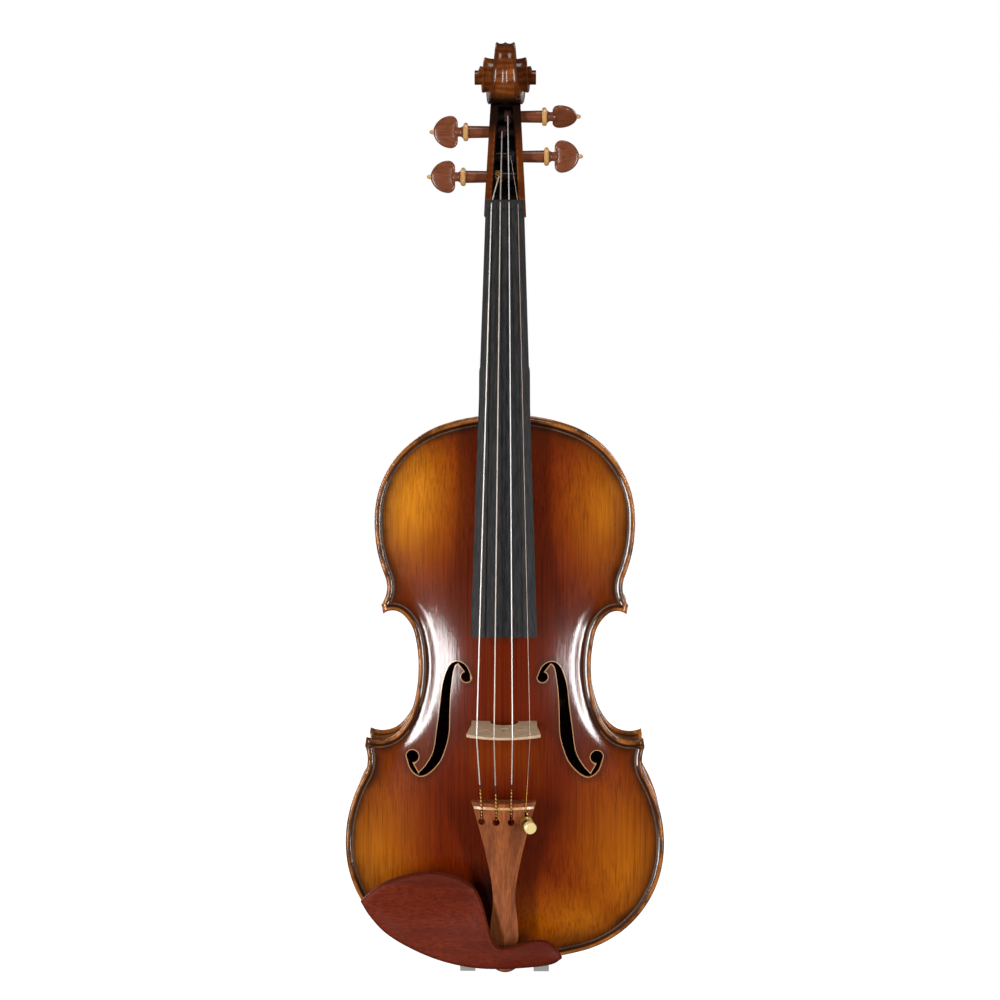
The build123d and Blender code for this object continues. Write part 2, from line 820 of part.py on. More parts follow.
with BuildPart() as end_block:
    with Locations((0, 0, rib_inside + block_depth / 2 - 5)):
        Box(block_width, rib_height, block_depth + 10)
    add(body_core, mode=Mode.INTERSECT)
    with Locations((0, 0, 0)):
        Cylinder(button_shank_radius, 2 * button_shank_length + 0.4, mode=Mode.SUBTRACT)

with BuildPart() as top_block:
    with Locations((0, 0, body_length - rib_inside - block_depth / 2 + 5)):
        Box(block_width, rib_height, block_depth + 10)
    add(body_core, mode=Mode.INTERSECT)
    add(neck.part, mode=Mode.SUBTRACT)


def linings(depth_from, depth_to):
    """The strips that widen the glue joint between the ribs and a plate, cut round the blocks."""
    with BuildPart() as strips:
        add(ring(rib_inside, rib_inside + lining_width, depth_from, depth_to))
        for block in (corner_blocks, end_block, top_block, neck):
            add(block.part, mode=Mode.SUBTRACT)
    return strips


linings_front = linings(front_seat, front_seat + lining_height)
linings_back = linings(back_seat - lining_height, back_seat)

with BuildPart() as bass_bar:
    with BuildSketch(Plane(origin=(-bar_offset - bar_width / 2, 0, 0), x_dir=(0, 1, 0),
                           z_dir=(cos(radians(bar_tilt)), 0, sin(radians(bar_tilt))))):
        with BuildLine():
            low, high = bar_centre_height - bar_length / 2, bar_centre_height + bar_length / 2
            bottom = front_seat - belly_arch + plate_thickness + bar_height
            Polyline((bottom + 3, low), (-50, low), (-50, high), (bottom + 3, high))
            ThreePointArc((bottom + 3, high), (bottom, bar_centre_height), (bottom + 3, low))
        make_face()
    extrude(amount=bar_width)
    add(belly_hollow.part, mode=Mode.INTERSECT)

def post_within(hollow):
    """The sound post's cylinder, cut to the inner face of one plate."""
    with BuildPart() as half_post:
        with Locations(Location((post_offset, 0, bridge_height_on_body - post_behind_bridge), (90, 0, 0))):
            Cylinder(post_diameter / 2, 80)
        add(hollow.part, mode=Mode.INTERSECT)
    return half_post.part


post_halves = [post_within(belly_hollow), post_within(back_hollow)]
with BuildPart() as sound_post:
    add(post_halves)


# ================================================================ saddle, end button and tailgut
with BuildPart() as saddle:
    with BuildSketch(seen_from_side(-saddle_width / 2)):
        with BuildLine():
            crest = front_seat - edge_thickness - saddle_height
            Polyline((front_seat, 0.4), (front_seat, saddle_depth), (front_face, saddle_depth))
            ThreePointArc((front_face, saddle_depth), (crest + 0.6, saddle_depth * 0.62), (crest, 2.2))
            ThreePointArc((crest, 2.2), (crest + 0.7, 0.9), (crest + 1.8, 0.4))
            Line((crest + 1.8, 0.4), (front_seat, 0.4))
        make_face()
    extrude(amount=saddle_width)

neck_end = -button_neck_length
dome_end = neck_end - knob_length - knob_dome
dome_radius = (knob_radius**2 + knob_dome**2) / (2 * knob_dome)
dome_middle = (knob_radius / 2, dome_end + dome_radius - sqrt(dome_radius**2 - knob_radius**2 / 4))
with BuildPart() as end_button:
    with BuildSketch(Plane.XZ):
        with BuildLine():
            Polyline(
                (0, button_shank_length),
                (button_shank_radius, button_shank_length),
                (button_shank_radius, neck_end),
                (knob_radius, neck_end),
                (knob_radius, neck_end - knob_length),
            )
            ThreePointArc((knob_radius, neck_end - knob_length), dome_middle, (0, dome_end))
            Line((0, dome_end), (0, button_shank_length))
        make_face()
    revolve(axis=Axis.Z)


def round_string(path, diameter):
    """A round string, gut or rod along a path."""
    with BuildPart() as cord:
        with BuildSketch(Plane(origin=path @ 0, z_dir=path % 0)):
            Circle(diameter / 2)
        sweep(path=path)
    return cord


tail_slope = (tail_depth_high - tail_depth_low) / (tail_high - tail_low)


def tail_bottom(z):
    """Depth y of the tailpiece's flat underside at a height."""
    return tail_depth_low + tail_slope * (z - tail_low)


saddle_crest = front_face - saddle_height
gut_level = -gut_drop
gut_radius = gut_diameter / 2
with BuildLine() as gut_line:
    start = (gut_half_spacing, tail_bottom(tail_low + 5) + 1.6, tail_low + 5)
    over = (gut_half_spacing, saddle_crest - gut_radius - 0.3, 1.6)
    under = (gut_half_spacing, saddle_crest + 2.2, gut_level)
    level = (gut_half_spacing, 0, gut_level)
    FilletPolyline(start, over, under, level, radius=[3.0, 1.6])
    ThreePointArc(level, (0, gut_half_spacing, gut_level), (-gut_half_spacing, 0, gut_level))
    mirrored = [(-x, y, z) for x, y, z in (level, under, over, start)]
    FilletPolyline(*mirrored, radius=[1.6, 3.0])
tailgut = round_string(gut_line.wire(), gut_diameter)


# ================================================================ tailpiece and its fret
def circle_drop(x, radius):
    """How far a circle falls below its crown at a distance x from the middle."""
    return radius - sqrt(radius**2 - x**2)


def tail_section(z, width, edge, crest, bulge):
    """The tailpiece cut across at a height: flat below, two curved slopes up to a central ridge."""
    half = width / 2
    plane = Plane(origin=(0, tail_bottom(z), z), x_dir=(1, 0, 0), z_dir=(0, 0, -1))
    middle = (edge + crest) / 2 + bulge
    with BuildSketch(plane) as section:
        with BuildLine():
            Polyline((-half, edge), (-half, 0), (half, 0), (half, edge))
            ThreePointArc((half, edge), (half / 2, middle), (0, crest))
            ThreePointArc((0, crest), (-half / 2, middle), (-half, edge))
        make_face()
    return section.sketch


def round_top(width, edge, radius):
    """The crest and bulge that make both slopes parts of one circle."""
    crest = edge + circle_drop(width / 2, radius)
    middle = crest - circle_drop(width / 4, radius)
    return crest, middle - (edge + crest) / 2


def tail_width(z):
    """Width of the tailpiece above its heel: broad at the strings, waisted, then swelling again."""
    if z > tail_waist:
        share = (z - tail_waist) / (tail_high - tail_waist)
        return tail_width_waist + (tail_width_high - tail_width_waist) * share**1.35
    blend = (1 + cos(pi * (z - tail_heel) / (tail_waist - tail_heel))) / 2
    return tail_width_waist + (tail_width_heel - tail_width_waist) * blend


def tail_block(inset, z_low, z_high):
    """The tailpiece's plan extruded square to its underside, between two heights."""
    plane = Plane(origin=(0, tail_bottom(0), 0), x_dir=(1, 0, 0), z_dir=(0, -1, tail_slope))
    drop = (z_high - tail_heel) / tail_outline_steps
    rows = [z_high - drop * step for step in range(tail_outline_steps + 1)]
    treble = [(tail_width(z) / 2 - inset, z) for z in rows]
    bass = [(-x, z) for x, z in reversed(treble)]
    with BuildPart() as block:
        with BuildSketch(plane):
            with BuildLine():
                Spline(treble)
                ThreePointArc(treble[-1], (0, z_low), bass[0])
                Spline(bass)
                Line(bass[-1], treble[0])
            make_face()
        extrude(amount=12)
    return block.part


def tail_crown(drop):
    """Everything under the tailpiece's top: a ridge up to the waist, then a round back."""
    half = tail_width_high / 2 + 2
    ridge = tail_edge + tail_ridge
    fall = (tail_ridge - 0.2) / (tail_width_heel / 2) * half
    round_crest = tail_edge + circle_drop(tail_width_high / 2, fingerboard_radius)
    round_side = round_crest - circle_drop(half, fingerboard_radius)
    crowns = [
        (tail_low - 2, ridge, ridge - fall, 0.3),
        (tail_waist, ridge, ridge - fall, 0.3),
        (tail_high + 2, round_crest, round_side, None),
    ]
    sections = []
    for z, crest, side, bulge in crowns:
        if bulge is None:
            bulge = crest - circle_drop(half / 2, fingerboard_radius) - (crest + side) / 2
        plane = Plane(origin=(0, tail_bottom(z), z), x_dir=(1, 0, 0), z_dir=(0, 0, -1))
        with BuildSketch(plane) as section:
            with BuildLine():
                Polyline((-half, side - drop), (-half, -8), (half, -8), (half, side - drop))
                middle = (crest + side) / 2 + bulge - drop
                ThreePointArc((half, side - drop), (half / 2, middle), (0, crest - drop))
                ThreePointArc((0, crest - drop), (-half / 2, middle), (-half, side - drop))
            make_face()
        sections.append(section.sketch)
    with BuildPart() as crown:
        loft(sections, ruled=True)
    return crown.part


def keyhole(x, radius):
    """A string's keyhole: a round hole with a slot running up towards the fret."""
    with BuildSketch() as shape:
        with Locations((x, keyhole_height)):
            Circle(radius)
        with Locations((x, keyhole_height)):
            Rectangle(keyhole_slot, keyhole_slot_top - keyhole_height, align=(Align.CENTER, Align.MIN))
    return extruded(shape.sketch, -70, -30)


fret_width = tail_width(tail_fret_height)
fret_crest, fret_bulge = round_top(fret_width, tail_edge, fingerboard_radius)
with BuildPart() as tailpiece_fret:
    proud = tail_section(tail_fret_height, fret_width, tail_edge + tail_fret_step,
                         fret_crest + tail_fret_step, fret_bulge)
    sunk = tail_section(tail_fret_height, fret_width + 1, tail_edge - tail_fret_step,
                        fret_crest - tail_fret_step, fret_bulge)
    extrude(proud, amount=tail_fret_width / 2, both=True)
    extrude(sunk, amount=tail_fret_width, both=True, mode=Mode.SUBTRACT)

def tail_height(x, z):
    """Thickness of the tailpiece from its flat underside to its top, above the waist."""
    roundness = (z - tail_waist) / (tail_high + 2 - tail_waist)
    ridge = tail_edge + tail_ridge - (tail_ridge - 0.2) * x / (tail_width_heel / 2)
    crown = tail_edge + circle_drop(tail_width_high / 2, fingerboard_radius)
    crown -= circle_drop(x, fingerboard_radius)
    return ridge * (1 - roundness) + crown * roundness


with BuildPart() as tail_hollow:
    add(tail_block(tail_wall, tail_low + 2 * tail_wall, tail_high - 4))
    add(tail_crown(tail_wall), mode=Mode.INTERSECT)

with BuildPart() as tailpiece:
    add(tail_block(0, tail_low, tail_high))
    add(tail_crown(0), mode=Mode.INTERSECT)
    add(tail_hollow.part, mode=Mode.SUBTRACT)
    add(tailpiece_fret.part, mode=Mode.SUBTRACT)
    for x, radius in zip(tail_spread, [keyhole_radius] * 3 + [tuner_hole_radius]):
        add(keyhole(x, radius), mode=Mode.SUBTRACT)
    add(tailgut.part, mode=Mode.SUBTRACT)


# ================================================================ strings
def nut_top(x):
    """Height of the nut over the neck's plane at a distance from the centre line."""
    half = fingerboard_width_high / 2
    crown = fingerboard_edge + nut_step + circle_drop(half, fingerboard_radius)
    return crown - circle_drop(x, fingerboard_radius)


def fret_top(x):
    """Depth y of the tailpiece fret's crown at a distance from the centre line."""
    crown = fret_crest + tail_fret_step - circle_drop(x, fingerboard_radius)
    return tail_bottom(tail_fret_height) - crown


def string_path(index):
    """A string's route: tailpiece, fret, bridge, nut, and down to its winding on the peg."""
    radius = string_diameters[index] / 2
    x_tail, x_bridge, x_nut = tail_spread[index], bridge_spread[index], nut_spread[index]
    peg_height = peg_heights[index]
    shaft = peg_radius(peg_height, winding_reach(index))
    at_bridge = bridge_crown + circle_drop(x_bridge, bridge_crown_radius) - radius + notch_depth
    at_nut = nut_top(x_nut) + radius - notch_depth
    on_fret = fret_top(x_tail) - radius - string_rest_gap
    on_winding = peg_depth(peg_height) - shaft - winding_thickness - radius - string_gap
    start = (x_tail, on_fret + string_end_drop, keyhole_height + 1.0)
    if name_of_tuned_string == string_names[index]:
        start = (x_tail, on_fret + loop_end_drop, keyhole_slot_top - loop_end_gap)
    return [
        start,
        (x_tail, on_fret, tail_fret_height),
        (x_bridge, at_bridge, bridge_crown_height),
        tuple(neck_plane.from_local_coords(Vector(x_nut, neck_length + nut_length / 2, at_nut))),
        (winding_places[index], on_winding, peg_height),
    ]


def winding_reach(index):
    """How far in from its collar a peg carries its winding."""
    side, height = peg_sides[index], peg_heights[index]
    return peg_stand_off + wall_face(height) - side * winding_places[index]


strings = []
for index, name in enumerate(string_names):
    with BuildLine() as route:
        FilletPolyline(*string_path(index), radius=[1.5, 3.0, 3.0])
    strings.append(round_string(route.wire(), string_diameters[index]))

with BuildPart() as nut:
    add(nut_blank.part)
    for string in strings:
        add(string.part, mode=Mode.SUBTRACT)


# ================================================================ bridge
half_span, half_top = bridge_foot_span / 2, bridge_top_span / 2
inner_foot = half_span - bridge_foot_length
shoulder = bridge_height - circle_drop(half_top, bridge_crown_radius)
tail_side = bridge_height_on_body - bridge_foot_thickness / 2
neck_side = tail_side + bridge_foot_thickness
with BuildSketch() as bridge_side:
    with BuildLine():
        Polyline(
            (belly_crest + bridge_sink, tail_side),
            (bridge_crown, tail_side - bridge_lean),
            (bridge_crown, tail_side - bridge_lean + bridge_top_thickness),
            (belly_crest + bridge_sink, neck_side),
            close=True,
        )
    make_face()

with BuildPart() as bridge_blank:
    with BuildSketch(Plane(origin=(0, belly_crest, tail_side - 8), x_dir=(1, 0, 0), z_dir=(0, 0, 1))):
        with BuildLine():
            mid_top = (half_top / 2, circle_drop(half_top / 2, bridge_crown_radius) - bridge_height)
            Line((inner_foot, bridge_sink), (half_span, bridge_sink))
            Polyline((half_span, bridge_sink), (half_span, -1.6), (half_span - 2.5, -3.6))
            ThreePointArc((half_span - 2.5, -3.6), (half_span - 5.2, -9.5), (half_span - 2.8, -14.5))
            Line((half_span - 2.8, -14.5), (half_top, -shoulder + 2.5))
            Line((half_top, -shoulder + 2.5), (half_top, -shoulder))
            ThreePointArc((half_top, -shoulder), mid_top, (0, -bridge_height))
            Polyline((inner_foot, bridge_sink), (inner_foot, -2.0))
            ThreePointArc((inner_foot, -2.0), (inner_foot * 0.72, -6.8), (0, -8.6))
            Line((0, -8.6), (0, -bridge_height))
        make_face()
        mirror(about=Plane.YZ)
        with Locations((0, -15.6)):
            Circle(heart_radius, mode=Mode.SUBTRACT)
        for side in (-1, 1):
            with Locations((side * 12.0, -17.4)):
                SlotOverall(kidney_length, kidney_width, mode=Mode.SUBTRACT)
    extrude(amount=20)
    side_view = seen_from_side(-40).location * bridge_side.sketch
    add(extrude(side_view, amount=80, mode=Mode.PRIVATE), mode=Mode.INTERSECT)

with BuildPart() as bridge:
    add(bridge_blank.part)
    add(top_plate.part, mode=Mode.SUBTRACT)
    for string in strings:
        add(string.part, mode=Mode.SUBTRACT)


# ================================================================ pegs, their trims and string windings
def head_plane(side, height, turn):
    """The plane of a thumb piece's flat shape, turned about the peg's axis."""
    return peg_plane(side, height).rotated((turn, 0, 0))


def peg_head_outline(side, height, turn):
    """The thumb piece seen flat: a broad shoulder, two full lobes and a short end for the pip."""
    root = collar_length + peg_neck_length
    with BuildSketch(head_plane(side, height, turn)) as head:
        with BuildLine():
            lobe = JernArc((root, peg_shoulder), (0, 1), peg_lobe_radius, -peg_lobe_sweep)
            flank = JernArc(lobe @ 1, lobe % 1, peg_flank_radius, -peg_flank_sweep)
            Line(flank @ 1, ((flank @ 1).X, 0))
            Line((root, 0), (root, peg_shoulder))
            mirror(about=Plane.XZ)
        make_face()
    return head.sketch


def make_peg(side, height, turn):
    """A tapered peg with its waisted neck and a flat thumb piece."""
    inner_end = -(peg_stand_off + 2 * wall_face(height) + peg_tip_reach)
    seat = collar_length
    head_start = collar_length + peg_neck_length
    face_axis = Axis((0, 0, 0), tuple(head_plane(side, height, turn).z_dir))
    with BuildPart() as peg:
        extrude(peg_head_outline(side, height, turn), amount=peg_head_thickness / 2, both=True)
        for face in (-1, 0):
            chamfer(peg.faces().sort_by(face_axis)[face].edges(), peg_bevel)
        with BuildSketch(peg_plane(side, height)):
            with BuildLine():
                Polyline(
                    (inner_end, 0),
                    (inner_end, peg_radius(height, -inner_end)),
                    (0, peg_shaft_radius),
                    (0, collar_bore),
                    (seat, collar_bore),
                    (seat, peg_neck_radius + 1.4),
                    (seat + 1.6, peg_neck_radius),
                    (head_start, peg_neck_radius + 0.5),
                    (head_start + 3, 1.0),
                    (head_start + 3, 0),
                    (inner_end, 0),
                )
            make_face()
        revolve(axis=Axis((0, peg_depth(height), height), (1, 0, 0)))
    return peg


def make_trim(side, height):
    """The boxwood collar on a peg and the pip at the end of its head."""
    tip = collar_length + peg_neck_length + peg_head_length
    edge = collar_radius - collar_bevel
    with BuildPart() as trim:
        with BuildSketch(peg_plane(side, height)):
            with BuildLine():
                Polyline((0, collar_bore), (collar_length, collar_bore), (collar_length, edge),
                         (collar_length - collar_bevel, collar_radius), (collar_bevel, collar_radius),
                         (0, edge), close=True)
            make_face()
            with BuildLine():
                Polyline((tip, 0), (tip, pip_radius), (tip + pip_length * 0.6, pip_radius * 0.9),
                         (tip + pip_length, pip_radius * 0.4), (tip + pip_length, 0), close=True)
            make_face()
        revolve(axis=Axis((0, peg_depth(height), height), (1, 0, 0)))
    return trim


pegs, trims, windings = [], [], []
for index, (side, height, turn) in enumerate(zip(peg_sides, peg_heights, peg_turns)):
    peg = make_peg(side, height, turn)
    pegs.append(peg)
    trims.append(make_trim(side, height))
    with BuildPart() as winding:
        with Locations(Plane(origin=(winding_places[index], peg_depth(height), height), z_dir=(1, 0, 0))):
            Cylinder(peg_radius(height, winding_reach(index)) + winding_thickness, winding_length)
        add(peg.part, mode=Mode.SUBTRACT)
    windings.append(winding)


# ================================================================ fine tuner
tuned = string_names.index(name_of_tuned_string)
tuner_x = tail_spread[tuned]
tuner_surface = tail_bottom(keyhole_height) - tail_height(tuner_x, keyhole_height)
lean, tilt = radians(tuner_lean), radians(tuner_tilt)
tuner_axis = Vector(sin(lean), -cos(lean) * cos(tilt), -cos(lean) * sin(tilt))
tuner_plane = Plane(
    origin=(tuner_x, tuner_surface, keyhole_height),
    x_dir=Vector(0, 0, 1).cross(tuner_axis),
    z_dir=tuner_axis,
)
lever_plane = Plane(
    origin=tuner_plane.from_local_coords(Vector(-lever_thickness / 2, 0, 0)),
    x_dir=tuner_plane.y_dir,
    z_dir=tuner_plane.x_dir,
)


def tuner_cylinder(radius, low, high):
    """A solid cylinder on the tuner's axis, between two levels over the tailpiece."""
    with BuildPart() as cylinder:
        with BuildSketch(tuner_plane.offset(low)):
            Circle(radius)
        extrude(amount=high - low)
    return cylinder.part


with BuildPart() as tuner_body:
    add(tuner_cylinder(tuner_tube_radius, -tuner_foot, tuner_head))
    lug_length = lever_pivot + tuner_lug_end
    with BuildSketch(tuner_plane.offset(-tuner_foot)):
        Rectangle(tuner_lug_width, lug_length, align=(Align.CENTER, Align.MIN))
    extrude(amount=tuner_lug_thickness)
    with BuildSketch(tuner_plane.offset(-tuner_foot - 1)):
        with Locations((0, tuner_tube_radius)):
            Rectangle(lever_thickness + 2 * lever_gap, lug_length, align=(Align.CENTER, Align.MIN))
    extrude(amount=4, mode=Mode.SUBTRACT)
    add(tuner_cylinder(tuner_bore_radius, -tuner_foot - 1, tuner_head + 1), mode=Mode.SUBTRACT)
    pin_level = -pivot_drop
    with BuildSketch(lever_plane.offset(-5)):
        with Locations((lever_pivot, pin_level)):
            Circle(lever_pin_radius)
    extrude(amount=12, mode=Mode.SUBTRACT)

with BuildPart() as tuner_pin:
    with BuildSketch(lever_plane.offset((lever_thickness - tuner_lug_width) / 2)):
        with Locations((lever_pivot, pin_level)):
            Circle(lever_pin_radius)
    extrude(amount=tuner_lug_width)

with BuildPart() as tuner_lever:
    with BuildSketch(lever_plane):
        with BuildLine():
            arm_low, arm_outer = -tuner_foot - 1.9, lever_pivot + 1.0
            arm_inner = lever_pivot - 0.9
            Polyline(
                (-lever_toe, arm_low),
                (arm_outer, arm_low),
                (arm_outer, lever_hook),
                (lever_pivot - 0.6, lever_hook),
                (lever_pivot - 0.6, lever_hook - 0.8),
                (lever_pivot, lever_hook - 1.0),
                (arm_inner, -2.0),
                (arm_inner, -tuner_foot - 0.5),
                (-lever_toe, arm_low + 1.0),
                close=True,
            )
        make_face()
        with Locations((lever_pivot, pin_level)):
            Circle(lever_pin_radius + 0.05, mode=Mode.SUBTRACT)
    extrude(amount=lever_thickness)

with BuildPart() as tuner_ring:
    add(tuner_cylinder(tuner_ring_radius, tuner_ring_low, tuner_ring_low + tuner_ring_thickness))
    add(tuner_cylinder(tuner_ring_bore, 0, tuner_ring_low + tuner_ring_thickness + 1), mode=Mode.SUBTRACT)

knob_low = tuner_head + tuner_knob_gap
screw_end = knob_low + tuner_knob_length - 1.0
with BuildPart() as tuner_screw:
    add(tuner_cylinder(tuner_screw_radius, -tuner_foot - 0.6, screw_end))

with BuildPart() as tuner_knob:
    add(tuner_cylinder(tuner_knob_radius, knob_low, knob_low + tuner_knob_length))
    chamfer(tuner_knob.edges(), 0.4)
    knob_bore = tuner_screw_radius + knob_clearance
    add(tuner_cylinder(knob_bore, knob_low - 1, screw_end), mode=Mode.SUBTRACT)


# ================================================================ chinrest
def chinrest_outline():
    """The chinrest's plan: a broad plate on the bass side that narrows over the tailpiece."""
    with BuildSketch() as plan:
        with BuildLine():
            Spline(chinrest_upper_edge)
            Spline(chinrest_lower_edge)
        make_face()
    return plan.sketch


def chinrest_foot(side, depth_from, depth_to):
    """One chinrest foot, beside the saddle, between two depths."""
    reach = foot_left if side < 0 else foot_right
    with BuildPart() as foot:
        with Locations((side * (foot_inner + reach) / 2, (depth_from + depth_to) / 2, foot_high / 2)):
            Box(reach - foot_inner, depth_to - depth_from, foot_high)
        add(extruded(chinrest_outline(), depth_from, depth_to), mode=Mode.INTERSECT)
    return foot.part


cork_top = front_face - cork_thickness
clamp_line = -clamp_offset
with BuildPart() as clamp_foot:
    plate_depth = back_face + cork_thickness + clamp_plate_thickness / 2
    plate_low = clamp_line - 3
    with Locations((0, plate_depth, (foot_high + plate_low) / 2)):
        Box(2 * clamp_spacing + 8, clamp_plate_thickness, foot_high - plate_low)
    rod_depth = back_face + cork_thickness - clamp_rod_length / 2
    for side in (-1, 1):
        with Locations(Location((side * clamp_spacing, rod_depth, clamp_line), (90, 0, 0))):
            Cylinder(clamp_rod_radius, clamp_rod_length)

with BuildPart() as clamp_foot_cork:
    with Locations((0, back_face + cork_thickness / 2, foot_high / 2 + 1)):
        Box(2 * clamp_spacing + 4, cork_thickness, foot_high - 2)

brackets, barrels = [], []
bracket_depth = cork_top - clamp_plate_thickness / 2
bracket_low, bracket_high = clamp_line - 2, foot_high - 1
for side in (-1, 1):
    with BuildPart() as bracket:
        with Locations((side * clamp_spacing, bracket_depth, (bracket_low + bracket_high) / 2)):
            Box(clamp_plate_width, clamp_plate_thickness, bracket_high - bracket_low)
        rod = Location((side * clamp_spacing, cork_top + clamp_rod_length / 2, clamp_line), (90, 0, 0))
        with Locations(rod):
            Cylinder(clamp_rod_radius, clamp_rod_length)
    brackets.append(bracket)
    with BuildPart() as barrel:
        with Locations(Location((side * clamp_spacing, 0, clamp_line), (90, 0, 0))):
            Cylinder(clamp_barrel_radius, clamp_barrel_length)
            Cylinder(clamp_rod_radius + clamp_bore_clearance, clamp_barrel_length, mode=Mode.SUBTRACT)
        with Locations((side * clamp_spacing, 0, clamp_line)):
            Cylinder(clamp_key_hole_radius, 3 * clamp_barrel_radius, mode=Mode.SUBTRACT)
    barrels.append(barrel)

with BuildPart() as chinrest:
    add(extruded(chinrest_outline(), chinrest_top, chinrest_under))
    fillet(chinrest.edges().group_by(Axis.Y)[0], chinrest_round)
    for side in (-1, 1):
        add(chinrest_foot(side, chinrest_under - 0.5, cork_top))
    with Locations((dish_centre[0], chinrest_top - dish_radius + dish_depth, dish_centre[1])):
        Sphere(dish_radius, mode=Mode.SUBTRACT)
    for bracket in brackets:
        add(bracket.part, mode=Mode.SUBTRACT)

with BuildPart() as chinrest_cork:
    for side in (-1, 1):
        add(chinrest_foot(side, cork_top, front_face))


# ================================================================ write the pieces
os.makedirs("parts", exist_ok=True)
single_pieces = {
    "top_plate": top_plate,
    "back_plate": back_plate,
    "purfling_front": purfling_front,
    "purfling_back": purfling_back,
    "linings_front": linings_front,
    "linings_back": linings_back,
    "corner_blocks": corner_blocks,
    "end_block": end_block,
    "top_block": top_block,
    "bass_bar": bass_bar,
    "sound_post": sound_post,
    "neck_and_scroll": neck,
    "fingerboard": fingerboard,
    "nut": nut,
    "saddle": saddle,
    "end_button": end_button,
    "tailgut": tailgut,
    "tailpiece": tailpiece,
    "tailpiece_fret": tailpiece_fret,
    "bridge": bridge,
    "tuner_body": tuner_body,
    "tuner_ring": tuner_ring,
    "tuner_pin": tuner_pin,
    "tuner_lever": tuner_lever,
    "tuner_screw": tuner_screw,
    "tuner_knob": tuner_knob,
    "chinrest": chinrest,
    "chinrest_cork": chinrest_cork,
    "clamp_foot": clamp_foot,
    "clamp_foot_cork": clamp_foot_cork,
    "clamp_bracket_left": brackets[0],
    "clamp_bracket_right": brackets[1],
    "clamp_barrel_left": barrels[0],
    "clamp_barrel_right": barrels[1],
}
for piece_name, piece in {**single_pieces, **ribs}.items():
    save(piece, piece_name)
for index, name in enumerate(string_names):
    save(strings[index], f"string_{name}")
    save(pegs[index], f"peg_{name}")
    save(trims[index], f"peg_trim_{name}")
    save(windings[index], f"winding_{name}")
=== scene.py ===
from math import cos, pi, radians, sin, sqrt

import bmesh
import bpy
import numpy as np
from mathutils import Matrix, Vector, geometry


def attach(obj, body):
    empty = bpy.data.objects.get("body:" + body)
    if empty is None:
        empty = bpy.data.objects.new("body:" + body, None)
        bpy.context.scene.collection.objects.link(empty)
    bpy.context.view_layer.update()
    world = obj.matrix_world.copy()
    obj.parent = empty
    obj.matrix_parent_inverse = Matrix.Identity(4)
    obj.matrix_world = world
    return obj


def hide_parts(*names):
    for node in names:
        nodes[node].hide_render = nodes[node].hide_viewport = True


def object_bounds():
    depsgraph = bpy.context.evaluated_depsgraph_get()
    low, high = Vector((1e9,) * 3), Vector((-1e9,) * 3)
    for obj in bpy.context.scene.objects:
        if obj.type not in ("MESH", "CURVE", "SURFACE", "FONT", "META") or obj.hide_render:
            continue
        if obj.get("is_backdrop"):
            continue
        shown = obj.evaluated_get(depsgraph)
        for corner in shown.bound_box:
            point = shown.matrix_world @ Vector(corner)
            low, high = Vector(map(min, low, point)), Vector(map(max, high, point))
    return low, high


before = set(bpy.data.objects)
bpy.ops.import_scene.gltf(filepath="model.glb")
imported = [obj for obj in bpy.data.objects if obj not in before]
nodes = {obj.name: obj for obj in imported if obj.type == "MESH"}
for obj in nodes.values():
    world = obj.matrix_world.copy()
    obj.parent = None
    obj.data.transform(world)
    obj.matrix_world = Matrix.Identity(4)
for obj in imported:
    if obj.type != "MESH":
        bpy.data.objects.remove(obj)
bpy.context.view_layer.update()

MM = 0.001


def add_object(name, data):
    """A new object in the scene, made from a mesh, a camera or a lamp."""
    made = bpy.data.objects.new(name, data)
    bpy.context.scene.collection.objects.link(made)
    return made


def look_from(thing, place, target):
    """Stand a camera or a lamp at a place, turned to a target."""
    thing.location = place
    direction = Vector(target) - Vector(place)
    thing.rotation_euler = direction.to_track_quat("-Z", "Y").to_euler()


# ---------------- camera, first
CAMERA_PLACE = (0.028, -1.4195, 0.408)
CAMERA_AIM = (-0.003, -0.0195, 0.303)
CAMERA_LENS, SENSOR_WIDTH, CAMERA_REACH = 78.4, 36.0, 50.0
camera_data = bpy.data.cameras.new("camera")
camera_data.lens = CAMERA_LENS
camera_data.sensor_width = SENSOR_WIDTH
camera_data.clip_end = CAMERA_REACH
camera = add_object("camera", camera_data)
look_from(camera, CAMERA_PLACE, CAMERA_AIM)
bpy.context.scene.camera = camera
bpy.context.scene.view_settings.view_transform = "Standard"

# ---------------- sizes in millimetres
# The body, as the solids have it. Arcs are (radius, signed sweep in degrees).
BODY_LENGTH = 357.0
WAIST_HALF_WIDTH = 56.0
WAIST_HEIGHT = 195.0
LOWER_BOUT_HEIGHT = 76.0
LOWER_BOUT_HALF_WIDTH = 104.0
UPPER_BOUT_HEIGHT = 290.0
UPPER_BOUT_HALF_WIDTH = 84.3
LOWER_BOUT_ARCS = [(191.6, 15.5), (71.9, 67.5), (88.6, 36.8), (22.3, -52.3)]
WAIST_LOWER_ARCS = [(96.7, 17.1), (37.5, 26.0), (18.6, 71.8)]
WAIST_UPPER_ARCS = [(90.1, -13.1), (24.5, -36.6), (9.9, -78.3)]
UPPER_BOUT_ARCS = [(129.8, -18.8), (62.5, -66.3), (94.2, -26.5), (19.3, 58.3)]
SEAT = 15.5                 # depth of the ribs' edges, where both plates lie
EDGE_THICKNESS = 4.0
PLATE_THICKNESS = 3.0
BELLY_ARCH, BACK_ARCH = 15.5, 14.5
BUTTON_LENGTH = 13.0
BUTTON_RADIUS = 10.5
BUTTON_SEAM, BUTTON_CLEARING, BUTTON_STEPS = 0.6, 20.0, 12

